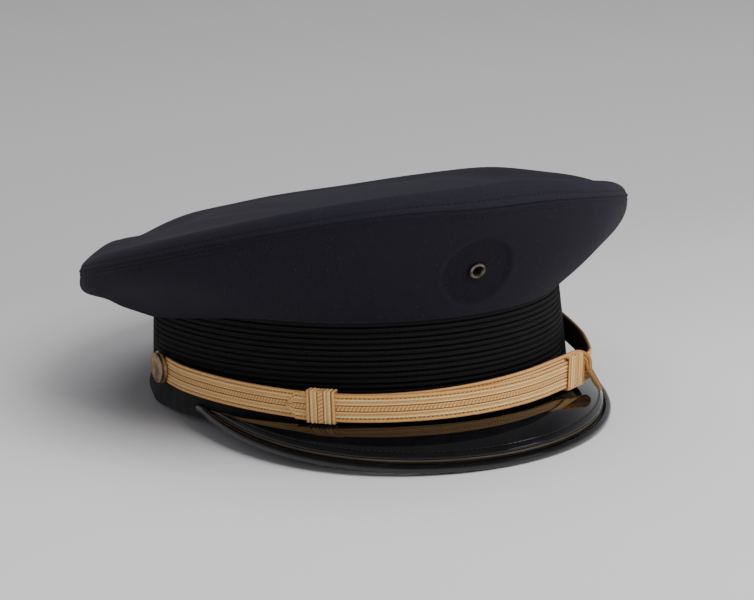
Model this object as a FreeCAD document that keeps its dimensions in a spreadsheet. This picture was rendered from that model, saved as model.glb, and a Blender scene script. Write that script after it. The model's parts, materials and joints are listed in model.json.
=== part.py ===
import FreeCAD, Part
import math
import os
import re

import Sketcher
from FreeCAD import Placement, Rotation, Vector

# Peaked service cap, modelled in millimetres.
# Cap frame while modelling: +Z up the wearer's head, -Y to the front, z = 0 where the crown meets
# the band.  At the end everything is tilted and lifted so that the cap rests on a table, on the
# visor's tip and the band's back edge.

SIZES = {
    # band: its plan is two half ellipses that meet at the widest line
    "band_front_length": 122.8,
    "band_back_length": 82.9,
    "band_half_width": 88.0,
    "band_widest_back": 16.0,
    "band_height": 44.5,
    "band_flare": 0.08,
    "braid_thickness": 1.6,
    "braid_bottom": -41.6,
    "frame_gap": 0.1,
    "frame_thickness": 1.4,
    "edge_roll_width": 7.1,
    "sweatband_offset": 5.9,
    "sweatband_thickness": 1.2,
    "sweatband_height": 34.0,
    # crown: the rim is an oval whose height runs from front to back
    "crown_front_length": 140.7,
    "crown_back_length": 124.8,
    "crown_half_width": 121.3,
    "crown_widest_back": 9.9,
    "crown_side_height": 21.6,
    "crown_fall": 18.7,
    "crown_saddle": 8.5,
    "crown_lean": 3.5,
    "crown_twist": 4.5,
    "crown_cloth": 1.0,
    "overhang_least": 0.4,
    "overhang_depth": 11.5,
    "overhang_start": 52.0,
    "overhang_full": 110.0,
    "ridge_inset": 6.1,
    "ridge_rise": 7.6,
    "crown_sag": 3.0,
    "welt_radius": 0.45,
    "grommet_radius": 1.5,
    "ferrule_radius": 2.0,
    "ferrule_length": 22.0,
    "stay_width": 26.0,
    "stay_thickness": 0.9,
    "lining_thickness": 0.6,
    # visor
    "visor_half_width": 89.7,
    "visor_end_back": -20.9,
    "visor_reach": 111.0,
    "visor_end_height": -43.8,
    "visor_drop": 15.0,
    "visor_plan_power": 0.82,
    "visor_drop_power": 0.66,
    "visor_twist": 1.3,
    "visor_skew": 1.2,
    "visor_bulge": 2.0,
    "visor_top_thickness": 0.8,
    "visor_core_thickness": 1.4,
    "visor_lining_thickness": 0.7,
    "bead_radius": 1.8,
    "strip_thickness": 0.5,
    "flange_height": 9.0,
    # badge eyelet
    "eyelet_height": 19.7,
    "eyelet_bore_radius": 2.15,
    "eyelet_wall": 0.45,
    "eyelet_flange_radius": 3.75,
    "eyelet_flange_thickness": 0.7,
    "eyelet_barrel_length": 5.0,
    "eyelet_washer_thickness": 0.5,
    "badge_disc_radius": 16.0,
    "badge_disc_thickness": 1.2,
    # chin strap
    "strap_axis_height": -30.6,
    "strap_tilt": 2.38,
    "strap_half_width": 94.0,
    "strap_reach": 127.6,
    "strap_front_radius": 82.0,
    "strap_height": 12.0,
    "strap_lace": 0.8,
    "strap_lining": 0.6,
    "strap_slip_gap": 0.1,
    "strap_end_length": 7.5,
    "strap_leave_angle": 27.0,
    "strap_straight": 29.4,
    "strap_bend_radius": 12.0,
    "strap_bend_end_angle": 70.0,
    "strap_tip_angle": 59.5,
    "tongue_angle": 40.0,
    "keeper_length": 13.0,
    "keeper_clearance": 0.35,
    "keeper_wall": 0.9,
    "keeper_left_extra": 2.6,
    "keeper_right_angle": 47.6,
    "keeper_left_place": 19.0,
    # side buttons
    "button_radius": 7.4,
    "button_dome": 3.4,
    "button_shell_wall": 0.6,
    "button_back_radius": 6.7,
    "button_back_thickness": 0.6,
    "button_strap_gap": 0.3,
    "post_radius": 1.5,
    "post_end": 85.1,
    "post_hole_play": 0.06,
    "band_hole_radius": 1.9,
    "pin_place": 86.2,
    "pin_radius": 0.4,
}

doc = FreeCAD.newDocument("peaked_cap")
sheet = doc.addObject("Spreadsheet::Sheet", "Sizes")
for row, (alias, value) in enumerate(SIZES.items(), start=1):
    sheet.set("A%d" % row, alias)
    sheet.set("B%d" % row, str(value))
    sheet.setAlias("B%d" % row, alias)
doc.recompute()


def size(alias):
    return float(sheet.get(alias))


# ---------------------------------------------------------------- document helpers

nodes = []
FULL_TURN = 2 * math.pi
RING_STATIONS = 40


def add_node(obj, label):
    obj.Label = label
    nodes.append(obj)
    return obj


def add_shape(label, shape):
    feature = doc.addObject("Part::Feature", label)
    feature.Shape = shape
    return add_node(feature, label)


def bind(text):
    """Turns the size names in a text into references to the sheet's cells."""
    return re.sub(r"[a-z_]+", lambda word: "<<Sizes>>." + word.group(0), text)


def value_of(text):
    return float(sheet.evalExpression(bind(text)))


def primitive(kind, name, **bound):
    obj = doc.addObject("Part::" + kind, name)
    for prop, text in bound.items():
        obj.setExpression(prop, bind(text))
    return obj


def boolean(kind, name, base, tool):
    obj = doc.addObject("Part::" + kind, name)
    obj.Base = base
    obj.Tool = tool
    return obj


def new_sketch(body, name):
    """Sketch on the body's own XY plane."""
    plane = [part for part in body.Origin.OriginFeatures if part.Role == "XY_Plane"][0]
    sketch = body.newObject("Sketcher::SketchObject", name)
    sketch.AttachmentSupport = [(plane, "")]
    sketch.MapMode = "FlatFace"
    return sketch


H_AXIS = -1
V_AXIS = -2


def fix_point(sketch, edge, end, across, up):
    """Holds one end of an edge at two sizes; a size of "0" puts it on the axis itself."""
    for text, axis, kind in ((across, V_AXIS, "DistanceX"), (up, H_AXIS, "DistanceY")):
        if text == "0":
            sketch.addConstraint(Sketcher.Constraint("PointOnObject", edge, end, axis))
        else:
            datum = Sketcher.Constraint(kind, H_AXIS, 1, edge, end, value_of(text))
            index = sketch.addConstraint(datum)
            sketch.setExpression("Constraints[%d]" % index, bind(text))


def draw_outline(sketch, outline):
    """Closed outline of (across, up) size texts.

    A third item "dome" makes the edge that starts there an arc centred on the vertical axis.
    """
    corners = [Vector(value_of(item[0]), value_of(item[1]), 0) for item in outline]
    ends = []
    for step, item in enumerate(outline):
        start = corners[step]
        end = corners[(step + 1) % len(corners)]
        if len(item) == 3:
            # centre on the axis, at the same distance from both ends
            rise = (end.y ** 2 + end.x ** 2 - start.y ** 2 - start.x ** 2) / (2 * (end.y - start.y))
            radius = math.hypot(start.x, start.y - rise)
            angles = [math.atan2(point.y - rise, point.x) for point in (start, end)]
            circle = Part.Circle(Vector(0, rise, 0), Vector(0, 0, 1), radius)
            edge = sketch.addGeometry(Part.ArcOfCircle(circle, min(angles), max(angles)), False)
            sketch.addConstraint(Sketcher.Constraint("PointOnObject", edge, 3, V_AXIS))
            ends.append((edge, 1, 2) if angles[0] < angles[1] else (edge, 2, 1))
        else:
            edge = sketch.addGeometry(Part.LineSegment(start, end), False)
            ends.append((edge, 1, 2))
    for step, item in enumerate(outline):
        edge, start_end, last_end = ends[step]
        after = ends[(step + 1) % len(ends)]
        sketch.addConstraint(Sketcher.Constraint("Coincident", edge, last_end, after[0], after[1]))
        fix_point(sketch, edge, start_end, item[0], item[1])


def turned(label, outlines, placement, angle="360"):
    """Body turned about the vertical axis of its sketch, evenly to both sides of it."""
    body = doc.addObject("PartDesign::Body", label)
    sketch = new_sketch(body, label + "_profile")
    for outline in outlines:
        draw_outline(sketch, outline)
    turn = body.newObject("PartDesign::Revolution", label + "_turn")
    turn.Profile = sketch
    turn.ReferenceAxis = (sketch, ["V_Axis"])
    turn.Midplane = True
    turn.setExpression("Angle", bind(angle))
    body.Placement = placement
    return add_node(body, label)


def padded(label, outlines, length, placement):
    """Body padded evenly to both sides of its sketch."""
    body = doc.addObject("PartDesign::Body", label)
    sketch = new_sketch(body, label + "_profile")
    for outline in outlines:
        draw_outline(sketch, outline)
    pad = body.newObject("PartDesign::Pad", label + "_pad")
    pad.Profile = sketch
    pad.Midplane = True
    pad.setExpression("Length", bind(length))
    body.Placement = placement
    return add_node(body, label)


# ---------------------------------------------------------------- plan curves of band and crown

def egg_oval(az, front, back, half, centre):
    length = front if math.cos(az) > 0 else back
    return half * math.sin(az), centre - length * math.cos(az)


def band_point(az, z, offset=0.0):
    x, y = egg_oval(
        az,
        size("band_front_length") + offset,
        size("band_back_length") + offset,
        size("band_half_width") - size("band_flare") * z + offset,
        size("band_widest_back"),
    )
    return Vector(x, y, z)


def crown_height(az):
    cosine = math.cos(az)
    level = size("crown_side_height") + size("crown_fall") * cosine
    level += size("crown_saddle") * cosine * cosine
    return level + size("crown_lean") * math.sin(az) - size("crown_twist") * math.sin(2 * az)


def rim_point(az, inset=0.0, rise=0.0):
    x, y = egg_oval(
        az,
        size("crown_front_length") - inset,
        size("crown_back_length") - inset,
        size("crown_half_width") - inset,
        size("crown_widest_back"),
    )
    return Vector(x, y, crown_height(az) + rise)


def centre_height(drop):
    """Height of the top cloth over the middle of the crown, less a drop."""
    middle = size("crown_side_height") + size("crown_saddle") / 2
    return middle + size("ridge_rise") - size("crown_sag") - drop


def between(start, end, share):
    return start + (end - start) * share


# ---------------------------------------------------------------- lofts

def closed_section(sides):
    """One closed wire; each side is a list of points that starts where the last one ended."""
    edges = []
    for side in sides:
        if len(side) == 2:
            edges.append(Part.LineSegment(side[0], side[1]).toShape())
        else:
            curve = Part.BSplineCurve()
            curve.interpolate(side)
            edges.append(curve.toShape())
    return Part.Wire(edges)


def band_of(outer, inner):
    """Section between two rows of points that run the same way."""
    back = list(reversed(inner))
    return closed_section([outer, [outer[-1], back[0]], back, [back[-1], outer[0]]])


def ring_loft(section, stations=RING_STATIONS):
    wires = [section(FULL_TURN * step / stations) for step in range(stations)]
    return Part.makeLoft(wires, True, False, True)


def round_section(point, tangent, radius):
    """A round wire whose first point always lies above the middle, so that lofts don't twist."""
    side = tangent.cross(Vector(0, 0, 1)).normalize()
    above = side.cross(tangent).normalize()
    count = 8
    points = []
    for step in range(count):
        turn = FULL_TURN * step / count
        points.append(point + above * (radius * math.cos(turn)) + side * (radius * math.sin(turn)))
    curve = Part.BSplineCurve()
    curve.interpolate(points, PeriodicFlag=True)
    return Part.Wire([curve.toShape()])


def round_ring(place, radius):
    """A closed cord of the given radius along place(az)."""
    step = 0.01

    def section(az):
        return round_section(place(az), (place(az + step) - place(az - step)).normalize(), radius)

    return ring_loft(section)


def oval_wire(z, offset):
    """Band-shaped wire at height z, from two exact half ellipses."""
    half = size("band_half_width") - size("band_flare") * z + offset
    middle = Vector(0, size("band_widest_back"), z)
    edges = []
    for length, heading in (
        (size("band_front_length") + offset, -1),
        (size("band_back_length") + offset, 1),
    ):
        tip = middle + Vector(0, heading * length, 0)
        left = middle + Vector(-half * heading, 0, 0)
        if length >= half:
            ellipse = Part.Ellipse(tip, left, middle)
        else:
            ellipse = Part.Ellipse(left, tip, middle)
        start = ellipse.parameter(middle + Vector(half * heading, 0, 0))
        end = ellipse.parameter(left)
        edge = Part.ArcOfEllipse(ellipse, start, end).toShape()
        if (edge.valueAt((edge.FirstParameter + edge.LastParameter) / 2) - tip).Length > 1.0:
            edge = Part.ArcOfEllipse(ellipse, end, start).toShape()
        edges.append(edge)
    return Part.Wire(Part.__sortEdges__(edges))


def hoop(low, high, outer, inner):
    """Oval hoop that follows the band's flare, between two offsets from the braid's face."""
    solids = []
    for offset in (outer, inner):
        solids.append(Part.makeLoft([oval_wire(low, offset), oval_wire(high, offset)], True, True))
    return solids[0].cut(solids[1])


# ---------------------------------------------------------------- band and sweatband

braid_inner = -size("braid_thickness")
frame_outer = braid_inner - size("frame_gap")
frame_inner = frame_outer - size("frame_thickness")
band_low = -size("band_height")
axis_y = size("band_widest_back")
axis_z = size("strap_axis_height")


def cut_post_holes(shape):
    """Holes on the strap's axis, right through both sides of the band."""
    reach = size("crown_half_width")
    start = Vector(-reach, axis_y, axis_z)
    return shape.cut(Part.makeCylinder(size("band_hole_radius"), 2 * reach, start, Vector(1, 0, 0)))


FRAME_TOP = -0.4
braid = hoop(size("braid_bottom"), 0.0, 0.0, braid_inner)
add_shape("braid_band", cut_post_holes(braid))
frame = hoop(size("braid_bottom"), FRAME_TOP, frame_outer, frame_inner)
add_shape("band_frame", cut_post_holes(frame))


def edge_roll_section(az, room=0.0):
    """Cloth turned under the band's lower edge, round at the bottom; room makes it fuller."""
    low = band_low - room
    high = size("braid_bottom")
    width = size("edge_roll_width") + room
    nose = 1.2
    outer = [
        band_point(az, high, room),
        band_point(az, low + nose, room),
        band_point(az, low, room - nose),
        band_point(az, low, nose - width),
        band_point(az, low + nose, -width),
        band_point(az, high, -width),
    ]
    sides = [[outer[step], outer[step + 1]] for step in range(len(outer) - 1)]
    sides.append([outer[-1], outer[0]])
    return closed_section(sides)


add_shape("band_edge_roll", ring_loft(edge_roll_section))

sweat_outer = -size("sweatband_offset")
sweat_inner = sweat_outer - size("sweatband_thickness")
sweat_low = size("braid_bottom")
sweat_high = sweat_low + size("sweatband_height")
add_shape("sweatband", hoop(sweat_low, sweat_high, sweat_outer, sweat_inner))

TAPE_HEIGHT = 9.0
TAPE_THICKNESS = 0.5
tape_inner = sweat_outer + 0.02
tape = hoop(sweat_high - TAPE_HEIGHT, sweat_high, tape_inner + TAPE_THICKNESS, tape_inner)
add_shape("sweatband_tape", tape)

# Flat patch over the sweatband's butt joint at the back of the head.
patch = doc.addObject("Part::Box", "sweatband_joint_patch")
patch.Length = 12.0
patch.Width = 0.8
patch.setExpression("Height", "<<Sizes>>.sweatband_height - 6")
patch_y = band_point(math.pi, sweat_low, sweat_inner).y - patch.Width.Value - 0.25
patch.Placement = Placement(Vector(-6.0, patch_y, sweat_low + 3), Rotation())
add_node(patch, "sweatband_joint_patch")

# ---------------------------------------------------------------- crown

PLAY = 0.05
PROFILE_STEPS = 8
CLOTH_GAP = 0.03
FRONT_SPREAD = math.radians(25)
FRONT_REACH = 0.2
FRONT_RISE = 0.45
SIDE_REACH = 1.0
SIDE_RISE = 0.53


def overhang(az):
    """How far the side cloth hangs below the band's top: most at the sides and the back."""
    turn = math.degrees(abs(math.remainder(az, FULL_TURN)))
    step = (turn - size("overhang_start")) / (size("overhang_full") - size("overhang_start"))
    step = min(1.0, max(0.0, step))
    return size("overhang_least") + size("overhang_depth") * step * step * (3 - 2 * step)


def wall_controls(az):
    """Where the side wall's curve is pulled to, as shares of its reach and its rise.

    The front is hollow because the stay holds it up; everywhere else the cloth is full.
    """
    front = math.exp(-(math.remainder(az, FULL_TURN) / FRONT_SPREAD) ** 2)
    return between(SIDE_REACH, FRONT_REACH, front), between(SIDE_RISE, FRONT_RISE, front)


def wall_point(az, share, inset=0.0):
    """Point on the side wall; share 0 is its lower edge and share 1 the rim seam."""
    cloth = size("crown_cloth")
    reach, rise = wall_controls(az)
    top = rim_point(az)
    start = band_point(az, -overhang(az), CLOTH_GAP)
    height = top.z - start.z
    # the lower edge stands off the braid by the part of the cloth that lies across it
    width = math.hypot(top.x - start.x, top.y - start.y)
    stand_off = cloth * height * rise / math.hypot(height * rise, width * reach)
    start = band_point(az, -overhang(az), CLOTH_GAP + stand_off)
    outward = Vector(top.x - start.x, top.y - start.y, 0)
    width = outward.Length
    outward.normalize()
    pull = 2 * share * (1 - share)
    out_slope = width * (reach * (1 - 2 * share) + share)
    up_slope = height * (rise * (1 - 2 * share) + share)
    normal = (outward * -up_slope + Vector(0, 0, out_slope)).normalize()
    # at the rim both faces end level with the seam
    normal = between(normal, outward * -1, share ** 4).normalize()
    place = start + outward * (width * (pull * reach + share * share)) + normal * inset
    place.z += height * (pull * rise + share * share)
    return place


def side_panel_section(az):
    cloth = size("crown_cloth")
    shares = [step / PROFILE_STEPS for step in range(PROFILE_STEPS + 1)]
    outer = [wall_point(az, share) for share in shares]
    inner = [wall_point(az, share, cloth) for share in shares]
    return band_of(outer, inner)


def roll_point(az, turn, depth):
    """Rounded shoulder between the rim seam (turn 0) and the ridge (turn 90 degrees)."""
    inset = size("ridge_inset") * (1 - math.cos(turn)) + depth * math.cos(turn)
    rise = size("ridge_rise") * math.sin(turn) - depth * math.sin(turn)
    return rim_point(az, inset, rise)


def top_point(az, share, depth):
    """Point on the top cloth; share 1 is the ridge and share 0 the middle."""
    ridge = roll_point(az, math.pi / 2, depth)
    middle = Vector(0, size("crown_widest_back"), 0)
    point = between(middle, Vector(ridge.x, ridge.y, 0), share)
    level = centre_height(depth)
    point.z = level + (ridge.z - level) * share * share
    return point


HUB_SHARE = 0.08


def top_panel_section(az):
    rows = []
    for depth in (0.0, size("crown_cloth")):
        turns = [math.radians(angle) for angle in (3, 30, 60)]
        row = [roll_point(az, turn, depth) for turn in turns]
        row += [top_point(az, share, depth) for share in (1.0, 0.8, 0.55, 0.3, HUB_SHARE)]
        rows.append(row)
    return band_of(rows[0], rows[1])


def hub(depth, thickness):
    """Disc that closes the middle of a top cloth."""
    radius = HUB_SHARE * size("crown_half_width") * 1.12
    base = Vector(0, size("crown_widest_back"), centre_height(depth) - thickness)
    return Part.makeCylinder(radius, thickness, base)


top_panel = ring_loft(top_panel_section).fuse(hub(0.05, size("crown_cloth")))
add_shape("crown_top_panel", top_panel)


def welt_place(az):
    """Middle of the folded seam's lip, just outside both cloths."""
    return rim_point(az, -size("welt_radius") - PLAY, size("welt_radius") / 2)


add_shape("crown_welt", round_ring(welt_place, size("welt_radius")))

grommet_depth = size("crown_cloth") + size("ferrule_radius") + 0.9


def grommet_place(az):
    return roll_point(az, math.radians(50), grommet_depth)


add_shape("grommet_ring", round_ring(grommet_place, size("grommet_radius")))

FERRULE_SAG = 0.3
back_of_rim = grommet_place(math.pi)
ferrule_rod = primitive("Cylinder", "ferrule_rod", Radius="ferrule_radius", Height="ferrule_length")
ferrule_rod.Placement = Placement(
    Vector(-size("ferrule_length") / 2, back_of_rim.y - FERRULE_SAG, back_of_rim.z),
    Rotation(Vector(0, 1, 0), 90),
)
ferrule_room = doc.addObject("Part::Feature", "ferrule_room")
ferrule_room.Shape = round_ring(grommet_place, size("grommet_radius") + PLAY)
add_node(boolean("Cut", "grommet_ferrule", ferrule_rod, ferrule_room), "grommet_ferrule")

LINING_INSET = 14.0
LINING_DROP = 6.0
LINING_FOOT = -5.5
LINING_START = 0.4


def lining_section(az):
    rows = []
    for depth in (0.0, size("lining_thickness")):
        foot = band_point(az, LINING_START, LINING_FOOT - depth)
        shoulder = rim_point(az, LINING_INSET + depth, -1.0 - depth)
        row = [between(foot, shoulder, share) for share in (0.0, 0.35, 0.7)]
        for share in (0.84, 0.7, 0.5, 0.3, HUB_SHARE):
            row.append(top_point(az, share, LINING_DROP + depth))
        rows.append(row)
    return band_of(rows[0], rows[1])


lining = ring_loft(lining_section).fuse(hub(LINING_DROP + 0.05, size("lining_thickness")))
add_shape("crown_lining", lining)

# ---------------------------------------------------------------- front stay and badge eyelet

# share of the wall's curve at which it reaches the eyelet's height
front_rise = wall_controls(0.0)[1]
goal = (size("eyelet_height") + overhang(0.0)) / (crown_height(0.0) + overhang(0.0))
eyelet_share = math.sqrt(front_rise ** 2 + (1 - 2 * front_rise) * goal) - front_rise
eyelet_share /= 1 - 2 * front_rise
eyelet_foot = wall_point(0.0, eyelet_share)
slope = (wall_point(0.0, eyelet_share + 0.02) - wall_point(0.0, eyelet_share - 0.02)).normalize()
eyelet_axis = Vector(0, -slope.z, slope.y)
eyelet_outer = size("eyelet_bore_radius") + size("eyelet_wall")


def along_eyelet(distance):
    """Placement on the eyelet's axis; the body's own +Y points out of the crown."""
    return Placement(eyelet_foot + eyelet_axis * distance, Rotation(Vector(0, 1, 0), eyelet_axis))


def eyelet_drill(radius):
    reach = 2 * size("badge_disc_radius")
    return Part.makeCylinder(radius, 2 * reach, eyelet_foot - eyelet_axis * reach, eyelet_axis)


def front_patch(near, far, low, high):
    """Curved blank behind the front of the side panel, between two insets and two shares."""
    half_angle = math.asin(2 * size("badge_disc_radius") / size("band_half_width"))
    shares = [between(low, high, step / 3) for step in range(4)]

    def section(az):
        rows = [[wall_point(az, share, inset) for share in shares] for inset in (near, far)]
        return band_of(rows[0], rows[1])

    sections = [section(half_angle * step / 3) for step in range(-3, 4)]
    return Part.makeLoft(sections, True, False)


side_panel = ring_loft(side_panel_section)
add_shape("crown_side_panel", side_panel.cut(eyelet_drill(eyelet_outer + PLAY)))

disc_near = size("crown_cloth") + PLAY
disc_far = disc_near + size("badge_disc_thickness")
disc_blank = front_patch(disc_near, disc_far, 0.01, 0.9)
disc = disc_blank.common(eyelet_drill(size("badge_disc_radius")))
add_shape("badge_backing_disc", disc.cut(eyelet_drill(eyelet_outer + PLAY)))

stay_near = disc_far + 0.2
stay_far = stay_near + size("stay_thickness")
stay_slot = Part.makeBox(size("stay_width"), 400, 400, Vector(-size("stay_width") / 2, -400, -200))
stay = front_patch(stay_near, stay_far, 0.06, 0.9).common(stay_slot)
add_shape("front_stay", stay.cut(eyelet_drill(eyelet_outer + 0.3)))

turned(
    "badge_eyelet",
    [[
        ("eyelet_bore_radius", "0"),
        ("eyelet_bore_radius + eyelet_wall", "0"),
        ("eyelet_bore_radius + eyelet_wall", "eyelet_barrel_length"),
        ("eyelet_flange_radius", "eyelet_barrel_length"),
        ("eyelet_flange_radius", "eyelet_barrel_length + eyelet_flange_thickness"),
        ("eyelet_bore_radius", "eyelet_barrel_length + eyelet_flange_thickness"),
    ]],
    along_eyelet(PLAY - size("eyelet_barrel_length")),
)
turned(
    "badge_eyelet_washer",
    [[
        ("eyelet_bore_radius + eyelet_wall + 0.05", "0"),
        ("eyelet_flange_radius + 0.8", "0"),
        ("eyelet_flange_radius + 0.8", "eyelet_washer_thickness"),
        ("eyelet_bore_radius + eyelet_wall + 0.05", "eyelet_washer_thickness"),
    ]],
    along_eyelet(-stay_far - size("eyelet_washer_thickness") - 0.3),
)

# ---------------------------------------------------------------- visor

ROOT_SPAN = math.radians(72)
EDGE_SPAN = math.radians(89.3)
ROOT_OFFSET = -4.4
VISOR_STATIONS = 24


def visor_root(share):
    return band_point(ROOT_SPAN * share, band_low - PLAY, ROOT_OFFSET)


def visor_edge(share):
    """Middle of the visor's edge bead; share runs from -1 to 1 across the front."""
    turn = EDGE_SPAN * share
    across = math.sin(turn)
    ahead = math.cos(turn) ** size("visor_plan_power")
    fall = math.cos(turn) ** size("visor_drop_power")
    return Vector(
        size("visor_half_width") * across,
        size("visor_end_back") - size("visor_reach") * ahead + size("visor_skew") * across,
        size("visor_end_height") - size("visor_drop") * fall - size("visor_twist") * across,
    )


def visor_rows(share, low, high, near=0.0, far=1.0):
    """Section of one visor layer, between two heights over its top face."""
    root = visor_root(share)
    edge = visor_edge(share) + Vector(0, 0, (visor_total / 2))
    run = edge - root
    flat = math.hypot(run.x, run.y)
    inset = size("bead_radius") + PLAY
    last = 1.0 - min(0.5, inset / flat)
    rows = []
    for level in (high, low):
        row = []
        for step in range(5):
            place = last * (near + (far - near) * step / 4)
            arch = size("visor_bulge") * min(1.0, flat / 25.0) * 4 * place * (1 - place)
            row.append(root + run * place + Vector(0, 0, arch + level))
        rows.append(row)
    return band_of(rows[0], rows[1])


def visor_layer(low, high, near=0.0, far=1.0):
    shares = [2.0 * step / VISOR_STATIONS - 1.0 for step in range(VISOR_STATIONS + 1)]
    return Part.makeLoft([visor_rows(share, low, high, near, far) for share in shares], True, False)


visor_total = size("visor_top_thickness") + size("visor_core_thickness")
visor_total += size("visor_lining_thickness")
core_top = -size("visor_top_thickness")
core_low = core_top - size("visor_core_thickness")


def bead(radius):
    sections = []
    for step in range(2 * VISOR_STATIONS + 1):
        share = step / VISOR_STATIONS - 1.0
        ahead = visor_edge(min(1.0, share + 0.01))
        behind = visor_edge(max(-1.0, share - 0.01))
        sections.append(round_section(visor_edge(share), (ahead - behind).normalize(), radius))
    return Part.makeLoft(sections, True, False)


bead_room = bead(size("bead_radius") + 0.03)
roll_room = ring_loft(lambda az: edge_roll_section(az, 0.03))
for label, low, high, near in (
    ("visor_top", core_top, 0.0, 0.0),
    ("visor_core", core_low, core_top, 0.0),
    ("visor_underside", -visor_total, core_low, 0.0),
    ("visor_edge_strip", 0.0, size("strip_thickness"), 0.78),
):
    left_over = visor_layer(low, high, near).cut(bead_room).cut(roll_room)
    add_shape(label, max(left_over.Solids, key=lambda solid: solid.Volume))
add_shape("visor_edge_bead", bead(size("bead_radius")).cut(roll_room))

flange_outer = frame_inner - 0.2
flange_low = size("braid_bottom")
flange = hoop(flange_low, flange_low + size("flange_height"), flange_outer, ROOT_OFFSET)
root_end = visor_root(1.0)
front_half = Part.makeBox(400, 400, 400, Vector(-200, root_end.y - 400, -200))
add_shape("visor_flange", flange.common(front_half))

# ---------------------------------------------------------------- chin strap

# Strap frame: origin on the axis through both side buttons, X along that axis.
strap_frame = Placement(Vector(0, axis_y, axis_z), Rotation(Vector(1, 0, 0), size("strap_tilt")))
front_radius = size("strap_front_radius")
half_width = size("strap_half_width")
front_centre = Vector(0, front_radius - size("strap_reach"), 0)
side_radius = half_width ** 2 + front_centre.y ** 2 - front_radius ** 2
side_radius /= 2 * (half_width - front_radius)
side_centre = Vector(side_radius - half_width, 0, 0)
join_angle = -math.atan2(side_centre.x, -front_centre.y)


def facing(angle):
    """Outward direction on the strap's path; angle 0 faces the front, 90 degrees the left side."""
    return Vector(math.sin(angle), -math.cos(angle), 0)


def heading_at(angle):
    return Vector(math.cos(angle), math.sin(angle), 0)


def arc(centre, radius, first, last):
    """Path piece; its offset to the outside is a larger arc about the same centre."""
    def edge(offset):
        points = [
            centre + facing(angle) * (radius + offset) for angle in (first, (first + last) / 2, last)
        ]
        return Part.Arc(points[0], points[1], points[2]).toShape()
    return edge


def run(start, angle, length):
    """Straight path piece."""
    def edge(offset):
        first = start + facing(angle) * offset
        return Part.LineSegment(first, first + heading_at(angle) * length).toShape()
    return edge


def strip(path, inner, outer):
    """Flat strap along a path, between two offsets, as high as the strap."""
    outside = [piece(outer) for piece in path]
    inside = [piece(inner) for piece in path]
    ends = []
    for near, far in ((outside[0], inside[0]), (outside[-1], inside[-1])):
        place = 0 if near is outside[0] else -1
        ends.append(
            Part.LineSegment(
                near.valueAt(near.FirstParameter if place == 0 else near.LastParameter),
                far.valueAt(far.FirstParameter if place == 0 else far.LastParameter),
            ).toShape()
        )
    wire = Part.Wire(Part.__sortEdges__(outside + inside + ends))
    height = size("strap_height")
    body = Part.Face(wire).extrude(Vector(0, 0, height))
    body.translate(Vector(0, 0, -height / 2))
    return body


leave_angle = math.radians(size("strap_leave_angle"))
bend_angle = math.radians(size("strap_bend_end_angle"))
tongue_angle = leave_angle + math.radians(size("tongue_angle"))
tip_angle = -math.radians(size("strap_tip_angle"))
leave_point = front_centre + facing(leave_angle) * front_radius
bend_start = leave_point + heading_at(leave_angle) * size("strap_straight")
bend_radius = size("strap_bend_radius")
bend_centre = bend_start - facing(leave_angle) * bend_radius
bend_end = bend_centre + facing(bend_angle) * bend_radius
left_post = Vector(half_width, 0, 0)
chord = left_post - bend_end
back_radius = chord.Length ** 2 / (-2 * facing(bend_angle).dot(chord))
back_centre = bend_end - facing(bend_angle) * back_radius
left_spoke = left_post - back_centre
left_angle = math.atan2(left_spoke.x, -left_spoke.y)
end_length = size("strap_end_length")

straight_run = run(leave_point, leave_angle, size("strap_straight"))
right_path = [
    run(Vector(-half_width, end_length, 0), -math.pi / 2, end_length),
    arc(side_centre, side_radius, -math.pi / 2, join_angle),
    arc(front_centre, front_radius, join_angle, leave_angle),
    straight_run,
    arc(bend_centre, bend_radius, leave_angle, tongue_angle),
]
left_path = [
    arc(front_centre, front_radius, tip_angle, leave_angle),
    straight_run,
    arc(bend_centre, bend_radius, leave_angle, bend_angle),
    arc(back_centre, back_radius, bend_angle, left_angle),
    run(left_post, left_angle, end_length),
]

# The right strap lies against the band, and the left strap lies over it.
slip = size("strap_slip_gap")
lace = size("strap_lace")
backing = size("strap_lining")
strap_outer = slip + backing + lace
post_hole = Part.makeCylinder(
    size("post_radius") + size("post_hole_play"), 40, Vector(0, 0, 0), Vector(1, 0, 0)
)
for label, path, inner, outer, hole_start in (
    ("strap_right", right_path, -slip - lace, -slip, -half_width - 20),
    ("strap_right_lining", right_path, -strap_outer, -slip - lace, -half_width - 20),
    ("strap_left", left_path, strap_outer - lace, strap_outer, half_width - 20),
    ("strap_left_lining", left_path, slip, strap_outer - lace, half_width - 20),
):
    hole = post_hole.copy()
    hole.translate(Vector(hole_start, 0, 0))
    # the posts stay level while the strap's own frame is tilted about the same axis
    add_shape(label, strip(path, inner, outer).cut(hole)).Placement = strap_frame

KEEPER_ROOM = "strap_slip_gap + strap_lining + strap_lace + keeper_clearance"
KEEPER_HALF = KEEPER_ROOM + " + keeper_wall"
KEEPER_RISE = "strap_height + 2 * keeper_clearance"


def keeper_outlines(middle, inside_height):
    """Outer and inner outline of a keeper's wrap, about a middle line at a size."""
    outlines = []
    for reach, low, high in (
        (KEEPER_HALF, "0", inside_height + " + 2 * keeper_wall"),
        (KEEPER_ROOM, "keeper_wall", inside_height + " + keeper_wall"),
    ):
        near = middle + " - (" + reach + ")"
        far = middle + " + " + reach
        outlines.append([(near, low), (far, low), (far, high), (near, high)])
    return outlines


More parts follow.
